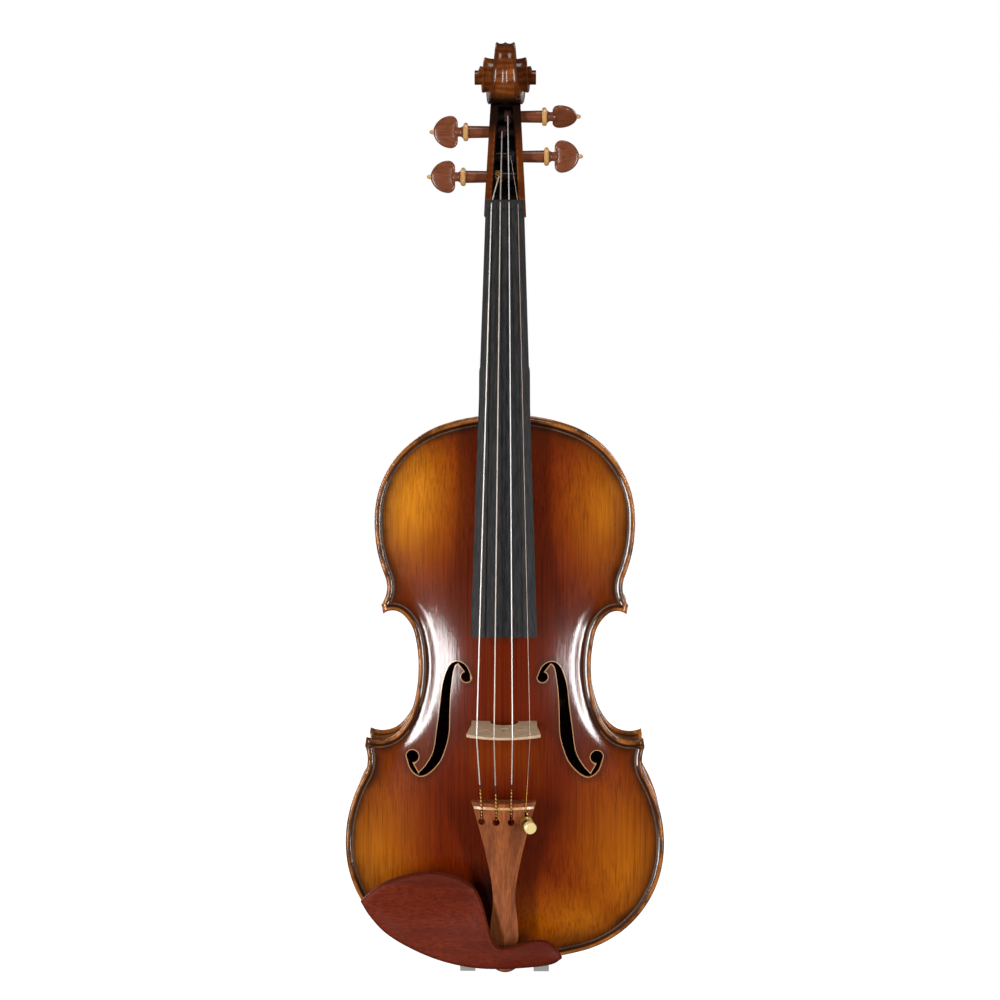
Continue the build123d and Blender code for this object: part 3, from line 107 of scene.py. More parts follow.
# The arching: how full it is along and across, and how far it starts below the edge.
ARCH_SINK, ARCH_INSET = 0.8, 2.0
BOUT_FULLNESS = 2.6
LONG_ARCH_FULLNESS, LONG_ARCH_FALL, CROSS_ARCH_FALL = 3.2, 1.3, 1.5

# The edge: a rounded bead, then the fluting down to its floor and up to the arching.
BEAD_RADIUS, BEAD_HEIGHT = 1.7, 0.22
FLUTE_DEPTH, FLUTE_FLOOR, FLUTE_END = 1.05, 5.0, 13.0
UNDER_EDGE_ROUND, UNDER_EDGE_REACH = 0.9, 1.2
GLUED_WIDTH = 8.5           # the plate stays flat below where ribs and linings meet it
BUTTON_FADE = 8.0           # the fluting runs out over this length at the button

# Where a plate's surface has its points.
EDGE_SPACING, RING_SPACING, PURFLING_SPACING = 1.6, 2.2, 1.8
RING_INSETS = (0.15, 0.45, 0.9, 1.4, 1.9, 2.6, 3.3, 4.1, 5.0, 6.0, 7.2, 8.6, 10.2, 12.0)
RING_CLEARANCE = 0.97       # share of its inset that a ring point keeps from the outline
GRID_STEP, GRID_MARGIN, GRID_INSET = 2.4, 2.0, 13.2
HOLE_CLEARANCE = 0.7
FAR_FROM_HOLES = 50.0
DISTANCE_BATCH = 2000       # points per batch, to spare memory

# One sound hole: both long edges, each ending in an eye.
HOLE_INNER_EDGE = [
    (30.0, 197.8), (32.7, 194.1), (34.9, 179.0), (35.6, 166.0), (36.2, 151.0),
    (39.9, 137.8), (43.6, 131.3), (49.4, 125.5), (55.2, 123.5), (60.8, 127.4), (64.0, 136.1),
]
LOWER_EYE_ARC = [(64.0, 136.1), (59.0, 140.1), (59.8, 131.9)]
HOLE_OUTER_EDGE = [
    (55.9, 125.2), (50.6, 131.3), (45.9, 140.5), (43.8, 154.6), (41.9, 168.7),
    (40.0, 184.3), (35.9, 195.5), (30.6, 198.9), (24.7, 196.2), (21.2, 188.7),
]
UPPER_EYE_ARC = [(21.2, 188.7), (26.0, 185.8), (25.5, 192.3)]
LOWER_EYE_STEPS, UPPER_EYE_STEPS = 14, 10


# ---------------- lines and outlines
def arc_chain(start, heading, arcs, spacing):
    """Points along a chain of tangent arcs; each arc is (radius, signed sweep in degrees)."""
    point, tangent = Vector(start), Vector(heading).normalized()
    points = [point.copy()]
    for radius, sweep in arcs:
        turn = 1 if sweep > 0 else -1
        centre = point + Vector((-tangent.y, tangent.x)) * radius * turn
        steps = max(3, int(radius * radians(abs(sweep)) / spacing))
        arm = point - centre
        for step in range(1, steps + 1):
            angle = radians(sweep) * step / steps
            points.append(centre + Vector((arm.x * cos(angle) - arm.y * sin(angle),
                                           arm.x * sin(angle) + arm.y * cos(angle))))
        angle = radians(sweep)
        tangent = Vector((tangent.x * cos(angle) - tangent.y * sin(angle),
                          tangent.x * sin(angle) + tangent.y * cos(angle)))
        point = points[-1].copy()
    return points


def body_outline(spacing, with_button):
    """The body's closed outline, anticlockwise from the bottom as the front shows it."""
    waist = (WAIST_HALF_WIDTH, WAIST_HEIGHT)
    half = arc_chain((0, 0), (1, 0), LOWER_BOUT_ARCS, spacing)
    half += arc_chain(waist, (0, -1), WAIST_LOWER_ARCS, spacing)[::-1]
    half += arc_chain(waist, (0, 1), WAIST_UPPER_ARCS, spacing)[1:]
    half += arc_chain((0, BODY_LENGTH), (1, 0), UPPER_BOUT_ARCS, spacing)[::-1]
    if with_button:
        half = [p for p in half if not (p.x < BUTTON_RADIUS + BUTTON_SEAM
                                        and p.y > BODY_LENGTH - BUTTON_CLEARING)]
        rise = BODY_LENGTH + BUTTON_LENGTH - BUTTON_RADIUS
        half += [Vector((BUTTON_RADIUS, BODY_LENGTH - BUTTON_SEAM)), Vector((BUTTON_RADIUS, rise))]
        angles = [pi / 2 * step / BUTTON_STEPS for step in range(1, BUTTON_STEPS + 1)]
        half += [Vector((BUTTON_RADIUS * cos(a), rise + BUTTON_RADIUS * sin(a))) for a in angles]
    return half + [Vector((-p.x, p.y)) for p in half[-2:0:-1]]


def inset_points(loop, inset):
    """The points of a closed loop, each moved inward along its own normal."""
    moved = []
    for i, here in enumerate(loop):
        run = loop[(i + 1) % len(loop)] - loop[i - 1]
        moved.append(here + Vector((-run.y, run.x)).normalized() * inset)
    return moved


def through(points, per_span=6):
    """A smooth line through points (Catmull-Rom)."""
    ends = [2 * Vector(points[0]) - Vector(points[1])] + [Vector(p) for p in points]
    ends.append(2 * Vector(points[-1]) - Vector(points[-2]))
    line = []
    for i in range(1, len(ends) - 2):
        p0, p1, p2, p3 = ends[i - 1:i + 3]
        for step in range(per_span):
            t = step / per_span
            line.append(0.5 * (2 * p1 + (p2 - p0) * t + (2 * p0 - 5 * p1 + 4 * p2 - p3) * t * t
                               + (3 * p1 - p0 - 3 * p2 + p3) * t**3))
    line.append(Vector(points[-1]))
    return line


def arc_through(a, b, c, steps):
    """Points on the circle arc from a through b to c."""
    a, b, c = Vector(a), Vector(b), Vector(c)
    aa, bb, cc = a.length_squared, b.length_squared, c.length_squared
    d = 2 * (a.x * (b.y - c.y) + b.x * (c.y - a.y) + c.x * (a.y - b.y))
    centre = Vector(((aa * (b.y - c.y) + bb * (c.y - a.y) + cc * (a.y - b.y)) / d,
                     (aa * (c.x - b.x) + bb * (a.x - c.x) + cc * (b.x - a.x)) / d))
    start, middle, end = [np.arctan2(p.y - centre.y, p.x - centre.x) for p in (a, b, c)]
    way = 1 if ((middle - start) % (2 * pi)) < ((end - start) % (2 * pi)) else -1
    sweep = way * (((end - start) * way) % (2 * pi))
    radius = (a - centre).length
    angles = [start + sweep * step / steps for step in range(steps + 1)]
    return [centre + radius * Vector((cos(angle), sin(angle))) for angle in angles]


def f_hole(side):
    """The closed outline of one sound hole."""
    loop = through(HOLE_INNER_EDGE)[:-1] + arc_through(*LOWER_EYE_ARC, LOWER_EYE_STEPS)
    loop += through(HOLE_OUTER_EDGE)[:-1] + arc_through(*UPPER_EYE_ARC, UPPER_EYE_STEPS)
    return [Vector((side * p.x, p.y)) for p in loop]


def arch_half_width(z):
    """Half width of the arched area at a height, with full bouts and a smooth waist."""
    if z < WAIST_HEIGHT:
        bout_height, bout_width, end = LOWER_BOUT_HEIGHT, LOWER_BOUT_HALF_WIDTH, 0.0
    else:
        bout_height, bout_width, end = UPPER_BOUT_HEIGHT, UPPER_BOUT_HALF_WIDTH, BODY_LENGTH
    past_bout = (z - bout_height) / (end - bout_height)
    if past_bout > 0:
        width = bout_width * sqrt(max(0.0, 1 - past_bout**BOUT_FULLNESS))
    else:
        blend = (1 + cos(pi * (z - bout_height) / (WAIST_HEIGHT - bout_height))) / 2
        width = WAIST_HALF_WIDTH + (bout_width - WAIST_HALF_WIDTH) * blend
    return max(width - ARCH_INSET, 1.0)


def arch_rise(x, z, rise):
    """Height of the arching: nearly level along the middle, a bell curve across."""
    along = min(1.0, abs(z - BODY_LENGTH / 2) / (BODY_LENGTH / 2 - ARCH_INSET))
    across = min(1.0, abs(x) / arch_half_width(z))
    lengthwise = (1 - along**LONG_ARCH_FULLNESS)**LONG_ARCH_FALL
    return rise * lengthwise * (1 - across**2)**CROSS_ARCH_FALL


def smooth(low, high, value):
    """0 below low, 1 above high, and a soft step between."""
    t = min(1.0, max(0.0, (value - low) / (high - low)))
    return t * t * (3 - 2 * t)


def round_drop(d, reach):
    """How far a rounded edge lies down at a distance inside it: 1 at the rim, 0 from reach on."""
    return 1 - sqrt(max(0.0, 1 - (1 - min(d, reach) / reach)**2))


def rim_profile(d):
    """Height over the flat edge at a distance from the outline: rounded bead, then the fluting."""
    if d < BEAD_RADIUS:
        return BEAD_HEIGHT - BEAD_RADIUS * round_drop(d, BEAD_RADIUS)
    climb = (FLUTE_DEPTH - BEAD_HEIGHT) * smooth(FLUTE_FLOOR, FLUTE_END, d)
    return BEAD_HEIGHT - FLUTE_DEPTH * smooth(BEAD_RADIUS, FLUTE_FLOOR, d) + climb


def distance_to(loop, points):
    """Distance from each point to the nearest edge of a closed loop."""
    a = np.array([(p.x, p.y) for p in loop])
    b = np.roll(a, -1, axis=0)
    edge = b - a
    squared = (edge**2).sum(1)
    result = np.empty(len(points))
    for start in range(0, len(points), DISTANCE_BATCH):
        p = points[start:start + DISTANCE_BATCH]
        w = p[:, None, :] - a[None]
        t = np.clip((w * edge).sum(2) / squared, 0, 1)
        gaps = np.sqrt(((w - t[..., None] * edge)**2).sum(2))
        result[start:start + DISTANCE_BATCH] = gaps.min(1)
    return result


def inside(loop, points):
    """Which points lie inside a closed loop, by counting its crossings of a level line."""
    a = np.array([(p.x, p.y) for p in loop])
    b = np.roll(a, -1, axis=0)
    x, y = points[:, 0][:, None], points[:, 1][:, None]
    spans = (a[:, 1] > y) != (b[:, 1] > y)
    never_zero = b[:, 1] - a[:, 1] + 1e-12
    crossing = (b[:, 0] - a[:, 0]) * (y - a[:, 1]) / never_zero + a[:, 0]
    return (spans & (x < crossing)).sum(1) % 2 == 1


def grid_inside(loop, spans, step, clearance):
    """Points of a grid that lie inside a closed loop, at least a clearance from it."""
    (left, right), (low, high) = spans
    grid = np.array([(x, z) for x in np.arange(left, right, step)
                     for z in np.arange(low, high, step)])
    grid = grid[inside(loop, grid)]
    return grid[distance_to(loop, grid) > clearance]


# ---------------- meshes
def closed_edges(first, count):
    """The edges of a closed loop of points, as pairs of indices."""
    return [(first + i, first + (i + 1) % count) for i in range(count)]


def quad_band(low, high, count):
    """Quads between two closed loops that start at the indices low and high."""
    return [(low + i, low + j, high + j, high + i) for i, j in closed_edges(0, count)]


def slab(outline, holes, free):
    """Triangles that fill a closed outline with holes, as flat points and faces."""
    fixed, edges = [], []
    for loop in [outline] + holes:
        edges += closed_edges(len(fixed), len(loop))
        fixed += [Vector((p[0], p[1])) for p in loop]
    points = fixed + [Vector(p) for p in free]
    verts, _, tris, *_ = geometry.delaunay_2d_cdt(points, edges, [], 1, 1e-5)
    flat = np.array([(v.x, v.y) for v in verts])
    centres = np.array([flat[list(f)].mean(0) for f in tris])
    good = np.ones(len(tris), bool)
    for loop in holes:
        good &= ~inside([Vector((p[0], p[1])) for p in loop], centres)
    return flat, [tuple(f) for f, ok in zip(tris, good) if ok]


def closed_shell(flat, faces, place_upper, place_lower):
    """Two layers over the same flat triangles, with walls round every free edge."""
    n = len(flat)
    points = [place_upper(i) for i in range(n)] + [place_lower(i) for i in range(n)]
    edges = dict.fromkeys((a, b) for f in faces for a, b in zip(f, f[1:] + f[:1]))
    walls = [(b, a, a + n, b + n) for (a, b) in edges if (b, a) not in edges]
    return points, faces + [tuple(i + n for i in f[::-1]) for f in faces] + walls


def new_mesh(name, points, faces, body="root", smooth_angle=40):
    """A mesh object from millimetre points, riding on a body."""
    mesh = bpy.data.meshes.new(name)
    mesh.from_pydata([tuple(c * MM for c in p) for p in points], [], faces)
    mesh.validate()
    work = bmesh.new()
    work.from_mesh(mesh)
    bmesh.ops.recalc_face_normals(work, faces=work.faces)
    work.to_mesh(mesh)
    work.free()
    mesh.shade_smooth()
    mesh.set_sharp_from_angle(angle=radians(smooth_angle))
    made = add_object(name, mesh)
    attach(made, body)
    return made


def plate_points(outline, with_button, loops):
    """A plate's free points: rings that follow the outline, and a grid inside them."""
    source = body_outline(RING_SPACING, with_button)
    ring = np.array([(p.x, p.y) for inset in RING_INSETS for p in inset_points(source, inset)])
    insets = np.repeat(RING_INSETS, len(source))
    ring = ring[distance_to(outline, ring) > insets * RING_CLEARANCE]
    side = LOWER_BOUT_HALF_WIDTH - GRID_MARGIN
    xs = np.arange(-side, side + 0.1, GRID_STEP)
    zs = np.arange(GRID_MARGIN, BODY_LENGTH - GRID_MARGIN, GRID_STEP)
    grid = np.array([(x + (GRID_STEP / 2 if row % 2 else 0), z)
                     for row, z in enumerate(zs) for x in xs])
    grid = grid[inside(outline, grid)]
    grid = grid[distance_to(outline, grid) > GRID_INSET]
    free = np.concatenate([ring, grid])
    free = free[inside(outline, free)]
    for loop in loops:
        gap = distance_to(loop, free)
        free = free[(gap > HOLE_CLEARANCE) & ~inside(loop, free)]
    return free


def plate(name, side, arch, holes, with_button):
    """A carved plate with rounded edge, fluting, arching and sound holes, as a closed shell."""
    outline = body_outline(EDGE_SPACING, with_button)
    loops = [f_hole(s) for s in (-1, 1)] if holes else []
    flat, faces = slab(outline, loops, plate_points(outline, with_button, loops))
    rim = distance_to(outline, flat)
    hole_gap = np.full(len(flat), FAR_FROM_HOLES)
    for loop in loops:
        hole_gap = np.minimum(hole_gap, distance_to(loop, flat))
    outer, inner = [], []
    for (x, z), d in zip(flat, rim):
        dome = max(0.0, arch_rise(x, z, arch - EDGE_THICKNESS + ARCH_SINK) - ARCH_SINK)
        flute = rim_profile(d)
        if with_button and z > BODY_LENGTH - BUTTON_FADE and d >= BEAD_RADIUS:
            flute += (BEAD_HEIGHT - flute) * smooth(BODY_LENGTH - BUTTON_FADE, BODY_LENGTH, z)
        level = SEAT + EDGE_THICKNESS + flute + dome
        outer.append(side * level)
        under = max(SEAT, level - PLATE_THICKNESS) if d > GLUED_WIDTH else SEAT
        under += UNDER_EDGE_ROUND * (1 - smooth(0.0, UNDER_EDGE_REACH, d))
        inner.append(side * under)
    if side > 0:
        faces = [f[::-1] for f in faces]
    points, faces = closed_shell(flat, faces,
                                 lambda i: (flat[i][0], outer[i], flat[i][1]),
                                 lambda i: (flat[i][0], inner[i], flat[i][1]))
    made = new_mesh(name, points, faces, smooth_angle=50)
    for label, values in (("rim", rim), ("hole_gap", hole_gap)):
        layer = made.data.attributes.new(label, "FLOAT", "POINT")
        layer.data.foreach_set("value", np.concatenate([values, values]).astype(np.float32))
    return made


# ---------------- materials
class Shader:
    """A short hand for building one node material on the object's own coordinates."""

    def __init__(self, name):
        self.material = bpy.data.materials.new(name)
        self.material.use_nodes = True
        self.tree = self.material.node_tree
        self.tree.nodes.clear()
        self.surface = self.add("ShaderNodeBsdfPrincipled")
        out = self.add("ShaderNodeOutputMaterial")
        self.link(self.surface.outputs[0], out.inputs["Surface"])
        self.place = self.add("ShaderNodeTexCoord").outputs["Object"]

    def add(self, kind, **settings):
        node = self.tree.nodes.new(kind)
        for key, value in settings.items():
            setattr(node, key, value)
        return node

    def link(self, source, target):
        self.tree.links.new(source, target)

    def set(self, **values):
        """Plain values on the shader's own sockets."""
        for key, value in values.items():
            self.surface.inputs[key.replace("_", " ")].default_value = value

    def stretch(self, scale):
        """The place, scaled along each axis."""
        node = self.add("ShaderNodeMapping")
        node.inputs["Scale"].default_value = scale
        self.link(self.place, node.inputs["Vector"])
        return node.outputs[0]

    def noise(self, scale, detail=3.0, roughness=0.55, distortion=0.0):
        """Noise with so many cells to the metre along each axis."""
        node = self.add("ShaderNodeTexNoise")
        node.inputs["Scale"].default_value = 1.0
        node.inputs["Detail"].default_value = detail
        node.inputs["Roughness"].default_value = roughness
        node.inputs["Distortion"].default_value = distortion
        self.link(self.stretch(scale), node.inputs["Vector"])
        return node.outputs["Fac"]

    def ramp(self, factor, stops):
        node = self.add("ShaderNodeValToRGB")
        ramp = node.color_ramp.elements
        while len(ramp) < len(stops):
            ramp.new(0.5)
        for element, (place, color) in zip(ramp, stops):
            element.position = place
            element.color = (*color, 1.0)
        self.link(factor, node.inputs[0])
        return node.outputs[0]

    def levels(self, factor, low_place, low, high_place, high):
        """A plain number that goes from low to high as factor passes two places."""
        return self.ramp(factor, [(low_place, (low,) * 3), (high_place, (high,) * 3)])

    def math(self, operation, a, b=None, clamp=False):
        node = self.add("ShaderNodeMath", operation=operation, use_clamp=clamp)
        for socket, value in zip(node.inputs, (a, b)):
            if value is None:
                continue
            if isinstance(value, (int, float)):
                socket.default_value = value
            else:
                self.link(value, socket)
        return node.outputs[0]

    def plus(self, a, b, clamp=False):
        return self.math("ADD", a, b, clamp)

    def minus(self, a, b):
        return self.math("SUBTRACT", a, b)

    def times(self, a, b):
        return self.math("MULTIPLY", a, b)

    def mix(self, factor, a, b, blend="MIX"):
        """Colours a and b blended; each of the three may be a value or a socket."""
        node = self.add("ShaderNodeMix", data_type="RGBA", blend_type=blend)
        for socket, value in zip((node.inputs[0], node.inputs[6], node.inputs[7]), (factor, a, b)):
            if isinstance(value, (int, float)):
                socket.default_value = value
            elif isinstance(value, tuple):
                socket.default_value = (*value, 1.0)
            else:
                self.link(value, socket)
        return node.outputs[2]

    def between(self, value, low, high):
        """A soft step: 0 at low and 1 at high, whichever of the two is larger."""
        node = self.add("ShaderNodeMapRange", interpolation_type="SMOOTHSTEP")
        node.inputs["From Min"].default_value = min(low, high)
        node.inputs["From Max"].default_value = max(low, high)
        node.inputs["To Min"].default_value = float(low > high)
        node.inputs["To Max"].default_value = float(low < high)
        self.link(value, node.inputs["Value"])
        return node.outputs[0]

    def attribute(self, name):
        return self.add("ShaderNodeAttribute", attribute_name=name).outputs["Fac"]

    def axes(self):
        """The x, y and z of the place, in metres."""
        node = self.add("ShaderNodeSeparateXYZ")
        self.link(self.place, node.inputs[0])
        return node.outputs

    def flame(self, scale, distortion, detail, detail_scale):
        """Wavering bands across the grain, as figured maple has."""
        node = self.add("ShaderNodeTexWave", wave_type="BANDS", bands_direction="Z",
                        wave_profile="SIN")
        node.inputs["Scale"].default_value = 1.0
        node.inputs["Distortion"].default_value = distortion
        node.inputs["Detail"].default_value = detail
        node.inputs["Detail Scale"].default_value = detail_scale
        self.link(self.stretch(scale), node.inputs["Vector"])
        return node.outputs["Fac"]

    def bump(self, height, strength, distance, socket="Normal"):
        node = self.add("ShaderNodeBump")
        node.inputs["Strength"].default_value = strength
        node.inputs["Distance"].default_value = distance
        self.link(height, node.inputs["Height"])
        self.feed(socket, node.outputs[0])

    def feed(self, socket, value):
        self.link(value, self.surface.inputs[socket])

    def color(self, value):
        self.feed("Base Color", value)


def blob(s, centre, reach):
    """1 at a place on the body and 0 beyond an elliptical reach, in metres."""
    x, _, z = s.axes()
    dx = s.math("DIVIDE", s.minus(x, centre[0]), reach[0])
    dz = s.math("DIVIDE", s.minus(z, centre[1]), reach[1])
    distance = s.math("SQRT", s.plus(s.times(dx, dx), s.times(dz, dz)))
    return s.between(distance, 1.0, 0.0)


# Golden wear in the bouts: centre and reach in metres, and how strong.
WORN_PATCHES = [
    ((-0.066, 0.306), (0.054, 0.082), 0.95), ((0.068, 0.300), (0.046, 0.078), 0.66),
    ((-0.088, 0.066), (0.054, 0.098), 0.68), ((0.084, 0.064), (0.064, 0.110), 0.58),
    ((0.050, 0.026), (0.070, 0.044), 0.55), ((-0.020, 0.020), (0.060, 0.040), 0.42),
    ((0.0, 0.140), (0.045, 0.030), 0.22),
]
# From full varnish to bare golden ground.
VARNISH_TONES = [(0.0, (0.120, 0.0120, 0.0008)), (0.22, (0.205, 0.034, 0.0010)),
                 (0.50, (0.300, 0.072, 0.0014)), (1.0, (0.58, 0.200, 0.008))]
# Edge colours: antiqued dark towards the edge, dark varnish with painted shade in the fluting, and
# a gold bead of half-worn varnish with a painted highlight.
OLD_SHADE, FLUTE_GRIME_AND_SHADE, BEAD_WEAR_AND_HIGHLIGHT = (0.075, 0.014, 0.0010), (0.016, 0.0045, 0.0014), (0.40, 0.130, 0.022)
HOLE_SHADE, CUT_EDGE = (0.035, 0.008, 0.0015), (0.55, 0.28, 0.12)
SCRATCH_TINT, NICK_TINT = (0.03, 0.008, 0.002), (0.025, 0.006, 0.002)


def spruce_figure(s, base):
    """Straight fine grain with flecks; gives the colour and a height for the bump."""
    lines = s.noise((950, 950, 7), detail=2, roughness=0.6)
    fine = s.noise((2600, 2600, 26), detail=2)
    grain = s.ramp(lines, [(0.30, (0.66, 0.56, 0.45)), (0.5, (0.98, 0.97, 0.96)),
                           (0.7, (1.10, 1.12, 1.16))])
    base = s.mix(0.95, base, grain, "MULTIPLY")
    fleck = s.ramp(fine, [(0.36, (0.78, 0.73, 0.68)), (0.56, (1.04, 1.04, 1.04))])
    return s.mix(0.8, base, fleck, "MULTIPLY"), s.plus(lines, s.times(fine, 0.4))


def maple_figure(s, base):
    """Flames across the grain with pores; gives the colour and a height for the bump."""
    wave = s.flame((26, 26, 62), 7.0, 2.5, 1.6)
    flame = s.ramp(wave, [(0.1, (0.55, 0.46, 0.38)), (0.5, (0.95, 0.95, 0.95)),
                          (0.9, (1.25, 1.28, 1.3))])
    base = s.mix(0.8, base, flame, "MULTIPLY")
    pores = s.noise((1500, 1500, 60), detail=2)
    pore_tint = s.ramp(pores, [(0.35, (0.7, 0.66, 0.6)), (0.6, (1.03, 1.03, 1.03))])
    return s.mix(0.4, base, pore_tint, "MULTIPLY"), s.plus(s.times(wave, 0.6), pores)


def edge_shade_and_wear(s, base):
    """Darkening towards the fluting, partly dark varnish and partly painted shade, and a bead with
    its varnish half worn off and a painted highlight.
    """
    rim = s.attribute("rim")
    uneven = s.minus(s.noise((45, 45, 45), detail=4), 0.5)
    wobble = s.plus(rim, s.times(uneven, 9.0))
    base = s.mix(s.times(s.between(wobble, 24.0, 4.0), 0.50), base, OLD_SHADE)
    # The fluting: dark varnish, and painted shade of the channel.
    base = s.mix(s.times(s.between(wobble, 10.5, 3.4), 0.88), base, FLUTE_GRIME_AND_SHADE)
    # The bead: varnish half worn off, and a painted highlight.
    worn = s.levels(s.noise((70, 70, 70), detail=4), 0.36, 0.15, 0.58, 0.92)
    return s.mix(s.times(s.between(rim, 2.9, 1.9), worn), base, BEAD_WEAR_AND_HIGHLIGHT)


def hole_shade_and_wear(s, base):
    """Painted shade and a light cut edge round the sound holes, and scratches and nicks."""
    gap = s.attribute("hole_gap")
    # Painted shade round the sound holes.
    base = s.mix(s.times(s.between(gap, 6.0, 0.8), 0.45), base, HOLE_SHADE)
    base = s.mix(s.times(s.between(gap, 0.62, 0.38), 0.85), base, CUT_EDGE)
    scratch = s.noise((340, 340, 16), detail=5, roughness=0.8)
    base = s.mix(s.levels(scratch, 0.70, 0.0, 0.78, 0.30), base, SCRATCH_TINT)
    nicks = s.noise((230, 230, 90), detail=3, roughness=0.7)
    return s.mix(s.levels(nicks, 0.72, 0.0, 0.76, 0.55), base, NICK_TINT)


def varnish(name, spruce):
    """Antiqued red-brown varnish: golden wear in the bouts, dark varnish and painted shade round
    the fluting.
    """
    s = Shader(name)
    cloud = s.noise((16, 16, 9), detail=4)
    amber = None
    for centre, reach, strength in WORN_PATCHES:
        patch = s.times(blob(s, centre, reach), strength)
        amber = patch if amber is None else s.math("MAXIMUM", amber, patch)
    amber = s.plus(amber, s.times(s.minus(cloud, 0.5), 0.40), clamp=True)
    base, height = (spruce_figure if spruce else maple_figure)(s, s.ramp(amber, VARNISH_TONES))
    base = edge_shade_and_wear(s, base)
    s.color(hole_shade_and_wear(s, base) if spruce else base)
    s.feed("Roughness", s.levels(s.noise((70, 70, 24), detail=4), 0.3, 0.24, 0.7, 0.36))
    s.bump(height, strength=0.34, distance=0.00014)
    brushed = s.noise((1100, 1100, 9), detail=3, roughness=0.7)
    uneven = s.noise((210, 210, 30), detail=2)
    s.bump(s.plus(brushed, uneven), strength=0.20, distance=0.00014, socket="Coat Normal")
    s.set(Coat_Weight=1.0, Coat_Roughness=0.10, IOR=1.45, Specular_IOR_Level=0.08)
    return s.material


# The pegbox in metres, for its shading: half width and floor at its foot, and how they change.
PEGBOX_FOOT = 0.497
CAVITY_HALF_WIDTH, CAVITY_TAPER = 0.0087, 0.052
CAVITY_FLOOR, FLOOR_LEAN = 0.0106, 0.13
CHEEK_FRONT, CHEEK_LEAN = -0.0105, 0.27
HOLLOW_TINT, CHEEK_TINT = (0.004, 0.002, 0.0015), (0.085, 0.018, 0.003)
THROAT_SHADE = (0.012, 0.004, 0.002)
NECK_GOLD, NECK_GRIME = (0.38, 0.125, 0.022), (0.030, 0.008, 0.002)


def pegbox_shades(s, base):
    """The stained hollow of the pegbox, the fronts of its cheeks, and painted shade in the scroll's
    throat.
    """
    x, y, z = s.axes()
    below = s.minus(PEGBOX_FOOT, z)
    above = s.minus(z, PEGBOX_FOOT)
    inner = s.minus(s.plus(CAVITY_HALF_WIDTH, s.times(below, CAVITY_TAPER)), s.math("ABSOLUTE", x))
    floor = s.minus(s.plus(CAVITY_FLOOR, s.times(above, FLOOR_LEAN)), y)
    hollow = s.times(s.between(inner, -0.0002, 0.0002), s.between(floor, -0.0002, 0.0002))
    lengthwise = s.times(s.between(z, 0.4945, 0.4955), s.between(z, 0.5590, 0.5580))
    base = s.mix(s.times(hollow, lengthwise), base, HOLLOW_TINT)
    front = s.minus(s.plus(CHEEK_FRONT, s.times(above, CHEEK_LEAN)), y)
    core = s.math("ABSOLUTE", s.plus(inner, 0.0025))
    cheek = s.times(s.between(front, -0.0003, 0.0003), s.between(core, 0.0021, 0.0013))
    cheek = s.times(cheek, s.between(z, 0.4960, 0.4970))
    base = s.mix(s.times(cheek, 0.85), base, CHEEK_TINT)
    # Painted shade in the scroll's throat.
    throat = s.times(s.between(z, 0.530, 0.548), s.between(z, 0.564, 0.559))
    return s.mix(s.times(throat, s.between(y, 0.012, 0.006)), base, THROAT_SHADE)


def carved_maple(name):
    """Varnished flamed maple for ribs, neck and scroll, worn gold and dark in places."""
    s = Shader(name)
    wave = s.flame((30, 30, 75), 6.0, 3.0, 1.3)
    cloud = s.noise((26, 26, 26), detail=4)
    base = s.ramp(cloud, [(0.32, (0.075, 0.014, 0.002)), (0.52, (0.150, 0.036, 0.0055)),
                          (0.7, (0.235, 0.066, 0.011))])
    flame = s.ramp(wave, [(0.1, (0.60, 0.50, 0.42)), (0.9, (1.22, 1.24, 1.26))])
    base = s.mix(0.75, base, flame, "MULTIPLY")
    pores = s.noise((1300, 1300, 90), detail=3)
    pore_tint = s.ramp(pores, [(0.36, (0.62, 0.56, 0.5)), (0.58, (1.04, 1.04, 1.04))])
    base = s.mix(0.5, base, pore_tint, "MULTIPLY")
    wear = s.noise((48, 48, 48), detail=5, roughness=0.65)
    base = s.mix(s.levels(wear, 0.50, 0.0, 0.66, 0.55), base, NECK_GOLD)
    base = s.mix(s.levels(wear, 0.34, 0.60, 0.46, 0.0), base, NECK_GRIME)
    s.color(pegbox_shades(s, base))
    s.feed("Roughness", s.levels(cloud, 0.3, 0.20, 0.7, 0.34))
    s.bump(pores, strength=0.2, distance=0.0001)
    s.set(Coat_Weight=0.45, Coat_Roughness=0.13, Specular_IOR_Level=0.12)
    return s.material


PEGBOX_WALL = (0.0105, 0.0075)      # from here inward a peg's shaft is in the dark, m


def plain_wood(name, dark, light, grain=(700, 700, 18), roughness=0.4, coat=0.0, bumps=0.6,
               streak=None, shine=0.5, dim_inside=False):
    """Fine-grained wood: two tones along the grain, and perhaps wide streaks (scale, tint)."""
    s = Shader(name)
    lines = s.noise(grain, detail=4, roughness=0.6)
    base = s.ramp(lines, [(0.32, dark), (0.66, light)])
    if streak:
        wide = s.noise(streak[0], detail=3, distortion=0.4)
        base = s.mix(s.levels(wide, 0.42, 0.0, 0.62, 0.75), base, streak[1])
    if dim_inside:
        x = s.axes()[0]
        base = s.mix(s.between(s.math("ABSOLUTE", x), *PEGBOX_WALL), base, (0.006, 0.003, 0.002))
    s.color(base)
    pores = s.noise((grain[0] * 2.4, grain[1] * 2.4, grain[2] * 3), detail=2)
    s.feed("Roughness", s.levels(pores, 0.3, roughness + 0.12, 0.7, roughness - 0.05))
    s.bump(pores, bumps, distance=0.00008)
    s.set(Coat_Weight=coat, Coat_Roughness=0.12, Specular_IOR_Level=shine)
    return s.material


def metal(name, tint, roughness, metallic):
    """Polished or drawn metal with fine wear."""
    s = Shader(name)
    wear = s.noise((420, 420, 420), detail=5)
    s.color(s.mix(s.levels(wear, 0.4, 0.0, 0.7, 0.35), tint, tuple(c * 0.72 for c in tint)))
    s.feed("Roughness", s.levels(wear, 0.3, roughness, 0.75, roughness + 0.14))
    s.bump(s.noise((1800, 1800, 1800), detail=2), strength=0.08, distance=0.00003)
    s.set(Metallic=metallic)
    return s.material


